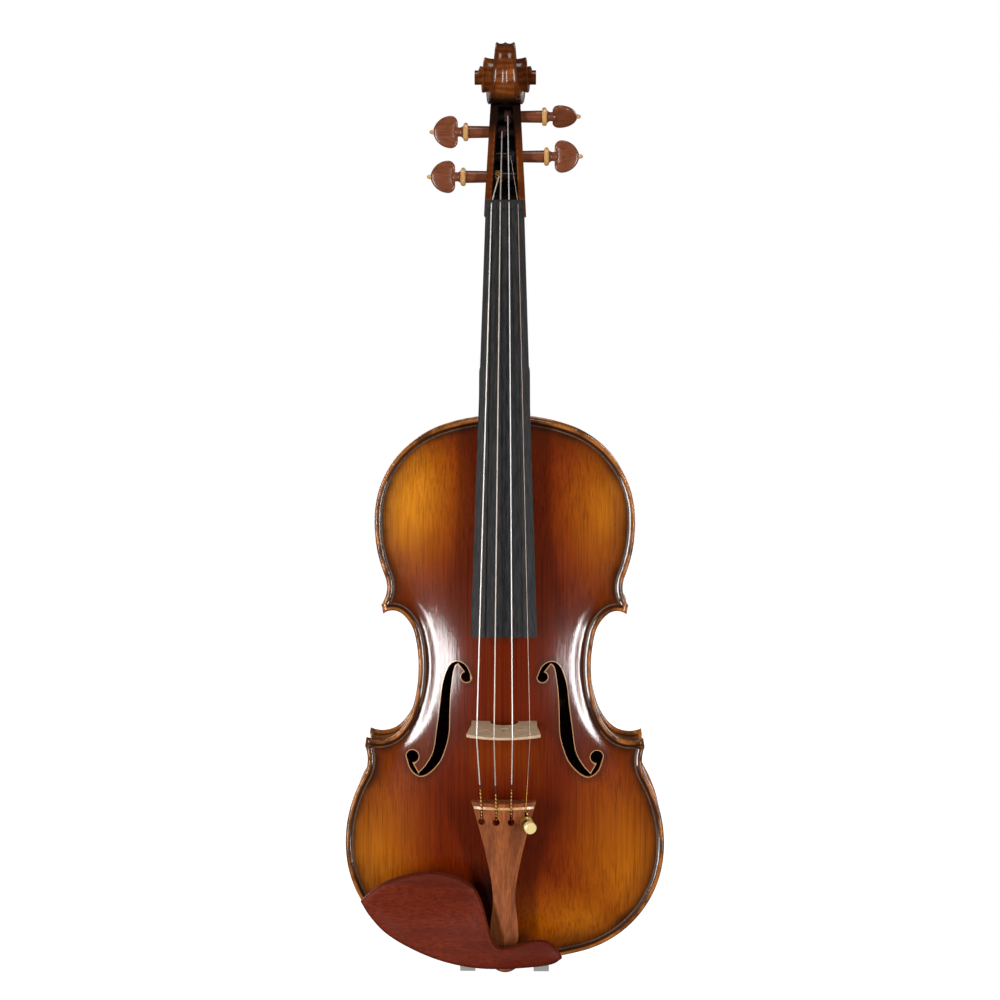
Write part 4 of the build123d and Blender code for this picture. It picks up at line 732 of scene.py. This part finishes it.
def silk(name, first, second, pitch):
    """Thread wound round a string, in turns of two colours."""
    s = Shader(name)
    wave = s.add("ShaderNodeTexWave", wave_type="BANDS", bands_direction="DIAGONAL")
    wave.inputs["Scale"].default_value = 1.0
    s.link(s.stretch((0.314 / pitch,) * 3), wave.inputs["Vector"])
    s.color(s.ramp(wave.outputs["Fac"], [(0.35, first), (0.6, second)]))
    s.bump(wave.outputs["Fac"], strength=0.5, distance=0.0001)
    s.set(Roughness=0.75, Specular_IOR_Level=0.1)
    return s.material


THREAD_PITCH, THREAD_LEAN = 0.0024, 0.8
BAND_EDGE = 0.0002                  # half the blur where one finish of a string meets the next
PLAIN_SILK = (0.010, 0.007, 0.007)


def string_wrap(name, tint, silk_top, gold_top, silk_low, silk_high):
    """Wound metal; silk up to silk_top, two-coloured up to gold_top and plain dark above it."""
    s = Shader(name)
    x, _, z = s.axes()
    lean = s.plus(z, s.times(x, THREAD_LEAN))
    turns = s.math("SINE", s.times(lean, 2 * pi / THREAD_PITCH))
    thread = s.ramp(s.plus(s.times(turns, 0.5), 0.5), [(0.26, silk_low), (0.46, silk_high)])
    thread = s.mix(s.between(z, gold_top - BAND_EDGE, gold_top + BAND_EDGE), thread, PLAIN_SILK)
    wear = s.noise((900, 900, 300), detail=3)
    wire = s.mix(s.times(wear, 0.6), tint, tuple(c * 0.65 for c in tint))
    silk_part = s.between(z, silk_top + BAND_EDGE, silk_top - BAND_EDGE)
    s.color(s.mix(silk_part, wire, thread))
    s.feed("Metallic", s.times(s.minus(1.0, silk_part), 0.45))
    s.feed("Roughness", s.levels(silk_part, 0.0, 0.34, 1.0, 0.5))
    s.bump(turns, strength=0.2, distance=0.00005)
    return s.material


spruce_varnish = varnish("spruce_varnish", True)
maple_varnish = varnish("maple_varnish", False)
neck_varnish = carved_maple("neck_varnish")
ebony = plain_wood("ebony", (0.010, 0.010, 0.011), (0.030, 0.029, 0.030),
                   grain=(900, 900, 14), roughness=0.46, bumps=0.25, shine=0.10)
rosewood = plain_wood("rosewood", (0.20, 0.050, 0.014), (0.35, 0.105, 0.032),
                      grain=(800, 800, 24), roughness=0.40, coat=0.15, bumps=0.35,
                      streak=((120, 120, 9), (0.13, 0.032, 0.010)), shine=0.2)
peg_wood = plain_wood("peg_wood", (0.115, 0.030, 0.012), (0.19, 0.056, 0.022),
                      grain=(150, 900, 900), roughness=0.34, coat=0.30, bumps=0.35,
                      shine=0.2, dim_inside=True)
boxwood = plain_wood("boxwood", (0.44, 0.22, 0.07), (0.62, 0.36, 0.14),
                     grain=(900, 900, 120), roughness=0.30, coat=0.3, bumps=0.3)
dark_wood = plain_wood("dark_wood", (0.085, 0.0075, 0.0018), (0.150, 0.018, 0.0035),
                       grain=(260, 700, 700), roughness=0.55, bumps=0.5,
                       streak=((9, 50, 60), (0.060, 0.005, 0.0015)), shine=0.16)
bridge_wood = plain_wood("bridge_wood", (0.42, 0.29, 0.17), (0.60, 0.44, 0.29),
                         grain=(160, 900, 1200), roughness=0.55, bumps=0.4,
                         streak=((700, 700, 2500), (0.38, 0.24, 0.13)))
bare_wood = plain_wood("bare_wood", (0.40, 0.26, 0.12), (0.62, 0.45, 0.25),
                       grain=(800, 800, 14), roughness=0.6)
gut_cord = plain_wood("gut_cord", (0.010, 0.009, 0.008), (0.022, 0.020, 0.018),
                      grain=(3000, 3000, 3000))
cork = plain_wood("cork", (0.30, 0.17, 0.08), (0.50, 0.33, 0.18),
                  grain=(1300, 1300, 1300), roughness=0.85, bumps=0.9)
purfling_core = plain_wood("purfling_core", (0.07, 0.030, 0.010), (0.15, 0.065, 0.022),
                           grain=(500, 500, 500), coat=0.3)
purfling_dark = plain_wood("purfling_dark", (0.012, 0.006, 0.004), (0.028, 0.014, 0.008),
                           grain=(500, 500, 500), coat=0.3)
gilt = metal("gilt", (1.0, 0.80, 0.34), 0.30, 0.35)
gilt_shade = metal("gilt_shade", (0.80, 0.52, 0.14), 0.24, 0.9)
brass_dark = metal("brass_dark", (0.16, 0.09, 0.02), 0.35, 0.8)
steel = metal("steel", (0.60, 0.59, 0.56), 0.28, 0.55)
silk_gold = silk("silk_gold", (0.04, 0.018, 0.006), (0.42, 0.22, 0.05), 0.0012)
silk_purple = silk("silk_purple", (0.020, 0.008, 0.010), (0.06, 0.022, 0.020), 0.0008)
silk_black = silk("silk_black", (0.012, 0.010, 0.012), (0.05, 0.04, 0.045), 0.0008)


def dress(material, *names):
    """Give a material to nodes of the frame that no carved piece replaces."""
    for name in names:
        for slot in nodes[name].material_slots:
            slot.material = material


dress(neck_varnish, "neck_and_scroll", *[n for n in nodes if n.startswith("rib_")])
dress(ebony, "fingerboard", "nut", "saddle")
dress(rosewood, "tailpiece", "end_button")
dress(boxwood, "tailpiece_fret", *[f"peg_trim_{letter}" for letter in "gdae"])
dress(bare_wood, "linings_front", "linings_back", "corner_blocks", "end_block", "top_block",
      "bass_bar", "sound_post")
dress(gilt, "tuner_knob")
dress(gilt_shade, "tuner_ring", "tuner_lever")
dress(brass_dark, "tuner_body", "tuner_screw")
dress(steel, "tuner_pin", "clamp_foot", "clamp_bracket_left", "clamp_bracket_right",
      "clamp_barrel_left", "clamp_barrel_right")
dress(gut_cord, "tailgut")
dress(cork, "chinrest_cork", "clamp_foot_cork")
dress(silk_gold, "winding_g")
dress(silk_purple, "winding_d", "winding_a")
dress(silk_black, "winding_e")

SILK_DARK, SILK_GOLD, TUNER_SILK = (0.015, 0.009, 0.006), (0.62, 0.33, 0.07), (0.50, 0.26, 0.05)
for letter, tint, silk_top, gold_top, silk_low in (
        ("g", (0.82, 0.76, 0.70), 0.1240, 0.1206, SILK_DARK),
        ("d", (0.56, 0.47, 0.40), 0.1240, 0.1182, SILK_DARK),
        ("a", (0.84, 0.80, 0.78), 0.1250, 0.1212, SILK_DARK),
        ("e", (0.42, 0.32, 0.26), 0.1275, 0.1300, TUNER_SILK)):
    finish = string_wrap(f"string_finish_{letter}", tint, silk_top, gold_top, silk_low, SILK_GOLD)
    dress(finish, f"string_{letter}")

# ---------------- carved plates
belly = plate("belly", -1, BELLY_ARCH, True, False)
belly.data.materials.append(spruce_varnish)
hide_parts("top_plate")
back = plate("back", 1, BACK_ARCH, False, True)
back.data.materials.append(maple_varnish)
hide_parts("back_plate")

PURFLING_INSETS = (4.0, 4.35, 4.95, 5.3)
PURFLING_LIFT = 0.03
NECK_GAP, SADDLE_GAP = (17.0, 6.0), (18.5, 6.0)     # half width and length left free on the belly


def purfling_line(name, side, node):
    """The inlaid line that follows the outline in the fluting: dark, pale and dark."""
    source = body_outline(PURFLING_SPACING, False)
    count = len(source)
    points, faces, bands = [], [], []
    for inset in PURFLING_INSETS:
        level = SEAT + EDGE_THICKNESS + rim_profile(inset) + PURFLING_LIFT
        points += [(p.x, side * level, p.y) for p in inset_points(source, inset)]
    for band in range(len(PURFLING_INSETS) - 1):
        quads = quad_band(band * count, (band + 1) * count, count)
        for corner, (a, b, c, d) in zip(source, quads):
            at_neck = corner.y > BODY_LENGTH - NECK_GAP[1] and abs(corner.x) < NECK_GAP[0]
            at_saddle = corner.y < SADDLE_GAP[1] and abs(corner.x) < SADDLE_GAP[0]
            if side < 0 and (at_neck or at_saddle):
                continue
            faces.append((a, b, c, d) if side < 0 else (d, c, b, a))
            bands.append(1 if band == 1 else 0)
    made = new_mesh(name, points, faces)
    made.data.materials.append(purfling_dark)
    made.data.materials.append(purfling_core)
    made.data.polygons.foreach_set("material_index", bands)
    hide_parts(node)


purfling_line("purfling_belly", -1, "purfling_front")
purfling_line("purfling_of_back", 1, "purfling_back")


# ---------------- chinrest
CHINREST_UPPER = [
    (37.4, 9.3), (32.0, 17.2), (24.0, 20.1), (15.0, 18.9), (6.0, 16.4), (-1.2, 15.2),
    (-6.9, 19.8), (-10.4, 30.5), (-13.5, 42.5), (-18.0, 52.8), (-25.0, 58.9), (-36.0, 63.2),
    (-50.0, 64.3), (-66.0, 61.6), (-81.0, 55.4), (-92.0, 46.1),
]
CHINREST_LOWER = [
    (-92.0, 46.1), (-86.0, 36.4), (-76.0, 25.6), (-61.0, 16.2), (-42.0, 8.1), (-22.0, 3.5),
    (-1.6, 2.2), (17.0, 3.2), (31.0, 5.4), (37.4, 9.3),
]
CHINREST_TOP, CHINREST_UNDER, CORK_TOP = -47.5, -39.5, -21.5
CHINREST_FEET = [[(-19.0, 3.2), (-19.0, 8.0), (-41.5, 8.0), (-22.0, 3.6)],
                 [(19.0, 3.5), (31.0, 5.5), (35.0, 8.0), (19.0, 8.0)]]
FOOT_OVERLAP = 1.0
CHINREST_SPANS, CHINREST_STEP, CHINREST_CLEARANCE = ((-92.0, 38.0), (2.0, 65.0)), 1.6, 0.5
SOFT_EDGE, SOFT_REACH = 1.5, 2.4
DISH_DEPTH, DISH_CENTRE, DISH_REACH, DISH_EDGE = 5.6, (-47.0, 34.0), (30.0, 17.0), 10.0
ARM_FALL, ARM_START, ARM_END, ARM_EDGE = 1.6, -16.0, 8.0, 7.0

chin_loop = through(CHINREST_UPPER)[:-1] + through(CHINREST_LOWER)[:-1]
chin_grid = grid_inside(chin_loop, CHINREST_SPANS, CHINREST_STEP, CHINREST_CLEARANCE)
chin_flat, chin_faces = slab(chin_loop, [], chin_grid)
chin_rim = distance_to(chin_loop, chin_flat)


def chin_upper(i):
    """The chinrest's upper face: soft edge, hollow dish and an arm that falls to its sides."""
    x, z = chin_flat[i]
    d = chin_rim[i]
    from_centre = (((x - DISH_CENTRE[0]) / DISH_REACH[0])**2
                   + ((z - DISH_CENTRE[1]) / DISH_REACH[1])**2)
    dish = DISH_DEPTH * np.exp(-from_centre) * smooth(0.0, DISH_EDGE, d)
    arm = smooth(ARM_START, ARM_END, x) * ARM_FALL * (1 - smooth(0.0, ARM_EDGE, d))
    return (x, CHINREST_TOP + SOFT_EDGE * round_drop(d, SOFT_REACH) + dish + arm, z)


def chin_lower(i):
    return (chin_flat[i][0], CHINREST_UNDER, chin_flat[i][1])


points, faces = closed_shell(chin_flat, chin_faces, chin_upper, chin_lower)
for foot in CHINREST_FEET:
    base, n = len(points), len(foot)
    points += [(x, depth, z) for depth in (CHINREST_UNDER - FOOT_OVERLAP, CORK_TOP)
               for x, z in foot]
    faces += [tuple(range(base, base + n)), tuple(range(base + n, base + 2 * n))[::-1]]
    faces += quad_band(base, base + n, n)
chin_piece = new_mesh("chinrest_carved", points, faces, smooth_angle=45)
chin_piece.data.materials.append(dark_wood)
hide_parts("chinrest")

# ---------------- bridge
# Drawn flat as (x, height over the belly's crest), then leaned: both faces taper to the top.
BELLY_CREST = 31.0
BRIDGE_RISE, BRIDGE_SINK, CROWN_RADIUS = 32.0, 1.2, 42.0
HALF_SPAN, HALF_TOP, INNER_FOOT = 21.0, 23.5, 9.0
FOOT_RISE, SHOULDER_RISE, SHOULDER_STEP = 1.4, 3.0, 0.6
ARCH_FOOT, ARCH_CROWN = 1.6, 6.0
HEART_RADIUS, HEART_RISE = 3.0, 16.0
KIDNEY_PLACE, KIDNEY_HALF_WIDTH, KIDNEY_HALF_HEIGHT, KIDNEY_RISE = 11.5, 3.4, 1.5, 17.6
CROWN_STEPS, ARCH_STEPS, CUTOUT_STEPS = 14, 8, 24
BRIDGE_SPANS, BRIDGE_STEP = ((-22.0, 23.0), (0.0, 31.0)), 2.2
BRIDGE_CLEARANCE, CUTOUT_CLEARANCE = 1.0, 0.8
TAIL_FACE, NECK_FACE = (156.8, -2.3), (161.2, -5.3)      # height at the feet, and change to the top
FEET_LEVEL, FACE_RISE = 2.4, 34.4


def oval(x, rise, half_width, half_height):
    angles = [2 * pi * step / CUTOUT_STEPS for step in range(CUTOUT_STEPS)]
    return [(x + half_width * cos(a), rise + half_height * sin(a)) for a in angles]


half = [(INNER_FOOT, -BRIDGE_SINK), (HALF_SPAN, -BRIDGE_SINK), (HALF_SPAN, FOOT_RISE),
        (HALF_SPAN - SHOULDER_STEP, SHOULDER_RISE)]
for step in range(CROWN_STEPS + 1):
    x = HALF_TOP * (1 - step / CROWN_STEPS)
    half.append((x, BRIDGE_RISE - CROWN_RADIUS + sqrt(CROWN_RADIUS**2 - x**2)))
arch_angles = [pi / 2 * step / ARCH_STEPS for step in range(ARCH_STEPS + 1)]
arch = [(INNER_FOOT * cos(a), ARCH_FOOT + ARCH_CROWN * sin(a)) for a in arch_angles]
bridge_loop = half + [(-x, r) for x, r in half[-2::-1]] + [(-x, r) for x, r in arch]
bridge_loop += [(x, r) for x, r in arch[-2::-1]]
cutouts = [oval(0.0, HEART_RISE, HEART_RADIUS, HEART_RADIUS)]
cutouts += [oval(side * KIDNEY_PLACE, KIDNEY_RISE, KIDNEY_HALF_WIDTH, KIDNEY_HALF_HEIGHT)
            for side in (-1, 1)]
bridge_edge = [Vector(p) for p in bridge_loop]
bridge_grid = grid_inside(bridge_edge, BRIDGE_SPANS, BRIDGE_STEP, BRIDGE_CLEARANCE)
for cutout in cutouts:
    loop = [Vector(p) for p in cutout]
    clear = distance_to(loop, bridge_grid) > CUTOUT_CLEARANCE
    bridge_grid = bridge_grid[~inside(loop, bridge_grid) & clear]
bridge_flat, bridge_faces = slab(bridge_loop, cutouts, bridge_grid)


def bridge_place(face):
    """Where the points of the bridge's flat shape go on one of its faces."""
    def place(i):
        x, rise = bridge_flat[i]
        return (x, -BELLY_CREST - rise, face[0] + face[1] * (rise + FEET_LEVEL) / FACE_RISE)
    return place


points, faces = closed_shell(bridge_flat, bridge_faces, bridge_place(TAIL_FACE),
                             bridge_place(NECK_FACE))
bridge_piece = new_mesh("bridge_carved", points, faces, smooth_angle=30)
bridge_piece.data.materials.append(bridge_wood)
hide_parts("bridge")

# ---------------- pegs
# Side of the head, height and turn of each peg. Depth y follows the height.
PEGS = {"g": (-1, 511.3, 90.0), "d": (-1, 540.5, 90.0), "a": (1, 550.4, -33.0),
        "e": (1, 524.4, 90.0)}
LOWEST_PEG, LOWEST_DEPTH, PEG_LEAN = 511.3, 2.5, 0.165
PEG_REACH, SHAFT_RADIUS, SHAFT_TAPER = 22.43, 4.0, 60.0
PEG_END = 1.4               # the carved shaft ends this much inside the node's own end
TURNED_NECK = [(0.0, 3.35), (3.2, 3.35), (3.2, 4.4), (4.0, 3.5), (5.2, 2.9), (7.2, 3.1),
               (9.0, 2.2), (11.0, 0.0)]      # (reach, radius) from the collar to inside the head
TURNED_STEPS = 36
HEAD_ROOT, HEAD_CENTRE, HEAD_SHOULDER = 6.8, 7.4, 5.8
HEAD_ARCS, HEAD_SPACING = [(4.6, -93.0), (12.1, -70.5)], 0.5
HEAD_RINGS = (1.0, 0.985, 0.955, 0.90, 0.80, 0.65, 0.45, 0.22)
RIM_HALF, HEAD_BULGE, HEAD_FULLNESS = 0.8, 1.8, 2.4
THROAT_DEPTH, THROAT_PLACE, THROAT_REACH = 1.0, (1.6, 4.2), (2.4, 0.9)


def turned_part(origin, side, depth, height, profile):
    """The turned shaft and neck of a peg, as rings along X."""
    points, faces = [], []
    for reach, radius in profile:
        for i in range(TURNED_STEPS):
            angle = 2 * pi * i / TURNED_STEPS
            points.append((origin + side * reach, depth + radius * cos(angle),
                           height + radius * sin(angle)))
    for row in range(len(profile) - 1):
        faces += quad_band(row * TURNED_STEPS, (row + 1) * TURNED_STEPS, TURNED_STEPS)
    return points, faces


def head_thickness(u, v, scale):
    """Half thickness of the thumb piece: rounded, with a throat carved beside the neck."""
    thick = RIM_HALF + HEAD_BULGE * sqrt(max(0.0, 1 - scale**HEAD_FULLNESS))
    if scale < 1.0:
        from_throat = (((u - THROAT_PLACE[0]) / THROAT_REACH[0])**2
                       + ((abs(v) - THROAT_PLACE[1]) / THROAT_REACH[1])**2)
        thick -= THROAT_DEPTH * np.exp(-from_throat)
    return thick


def peg_piece(letter):
    """One peg: turned shaft and neck, and a rounded thumb piece with carved throats."""
    side, height, turn = PEGS[letter]
    node = nodes[f"peg_{letter}"]
    ends = [(node.matrix_world @ Vector(corner)).x / MM for corner in node.bound_box]
    outer, inner = (max(ends), min(ends)) if side > 0 else (min(ends), max(ends))
    origin = outer - side * PEG_REACH
    depth = LOWEST_DEPTH + PEG_LEAN * (height - LOWEST_PEG)
    far = side * (inner - origin) + PEG_END
    shaft = [(far, 0.0), (far, SHAFT_RADIUS + far / SHAFT_TAPER), (0.0, SHAFT_RADIUS)]
    points, faces = turned_part(origin, side, depth, height, shaft + TURNED_NECK)
    edge = arc_chain((0, HEAD_SHOULDER), (0, 1), HEAD_ARCS, HEAD_SPACING)
    loop = edge + [Vector((p.x, -p.y)) for p in edge[::-1]]
    count = len(loop)
    angle = radians(turn)
    along = Vector((side, 0, 0))
    across = Vector((0, cos(angle), side * sin(angle)))
    out = Vector((0, -sin(angle), side * cos(angle)))
    root = Vector((origin + side * HEAD_ROOT, depth, height))
    rims = []
    for face_side in (1, -1):
        base = len(points)
        rims.append(base)
        for scale in HEAD_RINGS:
            for p in loop:
                u, v = HEAD_CENTRE + (p.x - HEAD_CENTRE) * scale, p.y * scale
                thick = head_thickness(u, v, scale)
                points.append(tuple(root + along * u + across * v + out * thick * face_side))
        crown = out * (RIM_HALF + HEAD_BULGE) * face_side
        points.append(tuple(root + along * HEAD_CENTRE + crown))
        for row in range(len(HEAD_RINGS) - 1):
            faces += quad_band(base + row * count, base + (row + 1) * count, count)
        last = base + (len(HEAD_RINGS) - 1) * count
        faces += [(a, b, last + count) for a, b in closed_edges(last, count)]
    faces += quad_band(*rims, count)
    made = new_mesh(f"peg_carved_{letter}", points, faces, body=f"peg_{letter}", smooth_angle=50)
    made.data.materials.append(peg_wood)
    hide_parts(f"peg_{letter}")


for letter in PEGS:
    peg_piece(letter)

# ---------------- studio, in metres
WHITE, WARM_WHITE = (1.0, 1.0, 1.0, 1.0), (1.0, 0.985, 0.96, 1.0)
FLOOR_TINT, FLOOR_HALF, FLOOR_GAP = (0.25, 0.25, 0.25, 1.0), 6.0, 0.0005
ROOM_LIGHT = 0.05           # what the white room adds to the object itself


def studio_floor():
    """A white floor that only the camera sees."""
    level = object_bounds()[0].z - FLOOR_GAP
    corners = [(x * FLOOR_HALF, y * FLOOR_HALF, level)
               for x, y in ((-1, -1), (1, -1), (1, 1), (-1, 1))]
    mesh = bpy.data.meshes.new("studio_floor")
    mesh.from_pydata(corners, [], [(0, 1, 2, 3)])
    panel = add_object("studio_floor", mesh)
    s = Shader("studio_floor")
    s.set(Base_Color=FLOOR_TINT, Roughness=0.9, Specular_IOR_Level=0.0,
          Emission_Color=WHITE, Emission_Strength=1.0)
    mesh.materials.append(s.material)
    panel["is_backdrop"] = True
    panel.visible_glossy = False
    panel.visible_diffuse = False
    panel.visible_shadow = False


def studio_world():
    """White to the camera, and nearly dark to everything else."""
    world = bpy.data.worlds.new("studio")
    world.use_nodes = True
    bpy.context.scene.world = world
    tree = world.node_tree
    seen_white = tree.nodes["Background"]
    seen_white.inputs["Color"].default_value = WHITE
    seen_white.inputs["Strength"].default_value = 1.0
    dim_room = tree.nodes.new("ShaderNodeBackground")
    dim_room.inputs["Color"].default_value = WARM_WHITE
    dim_room.inputs["Strength"].default_value = ROOM_LIGHT
    ray_kind = tree.nodes.new("ShaderNodeLightPath")
    mix = tree.nodes.new("ShaderNodeMixShader")
    tree.links.new(ray_kind.outputs["Is Camera Ray"], mix.inputs[0])
    tree.links.new(dim_room.outputs[0], mix.inputs[1])
    tree.links.new(seen_white.outputs[0], mix.inputs[2])
    tree.links.new(mix.outputs[0], tree.nodes["World Output"].inputs["Surface"])


def softbox(name, place, aim, size, power):
    """A rectangular lamp."""
    data = bpy.data.lights.new(name, "AREA")
    data.shape = "RECTANGLE"
    data.size, data.size_y = size
    data.energy = power
    look_from(add_object(name, data), place, aim)


studio_floor()
studio_world()
softbox("strip_left", (-1.22, -1.28, 0.22), (0, 0, 0.22), (0.27, 1.25), 30)
softbox("strip_right", (1.22, -1.28, 0.22), (0, 0, 0.22), (0.20, 1.25), 25)
softbox("back_left", (-1.5, 1.5, 0.8), (0, 0, 0.28), (1.6, 1.8), 24)
softbox("back_right", (1.5, 1.5, 0.8), (0, 0, 0.28), (1.6, 1.8), 30)
softbox("overhead", (0.0, -0.5, 2.0), (0, 0, 0.2), (0.8, 0.5), 9)
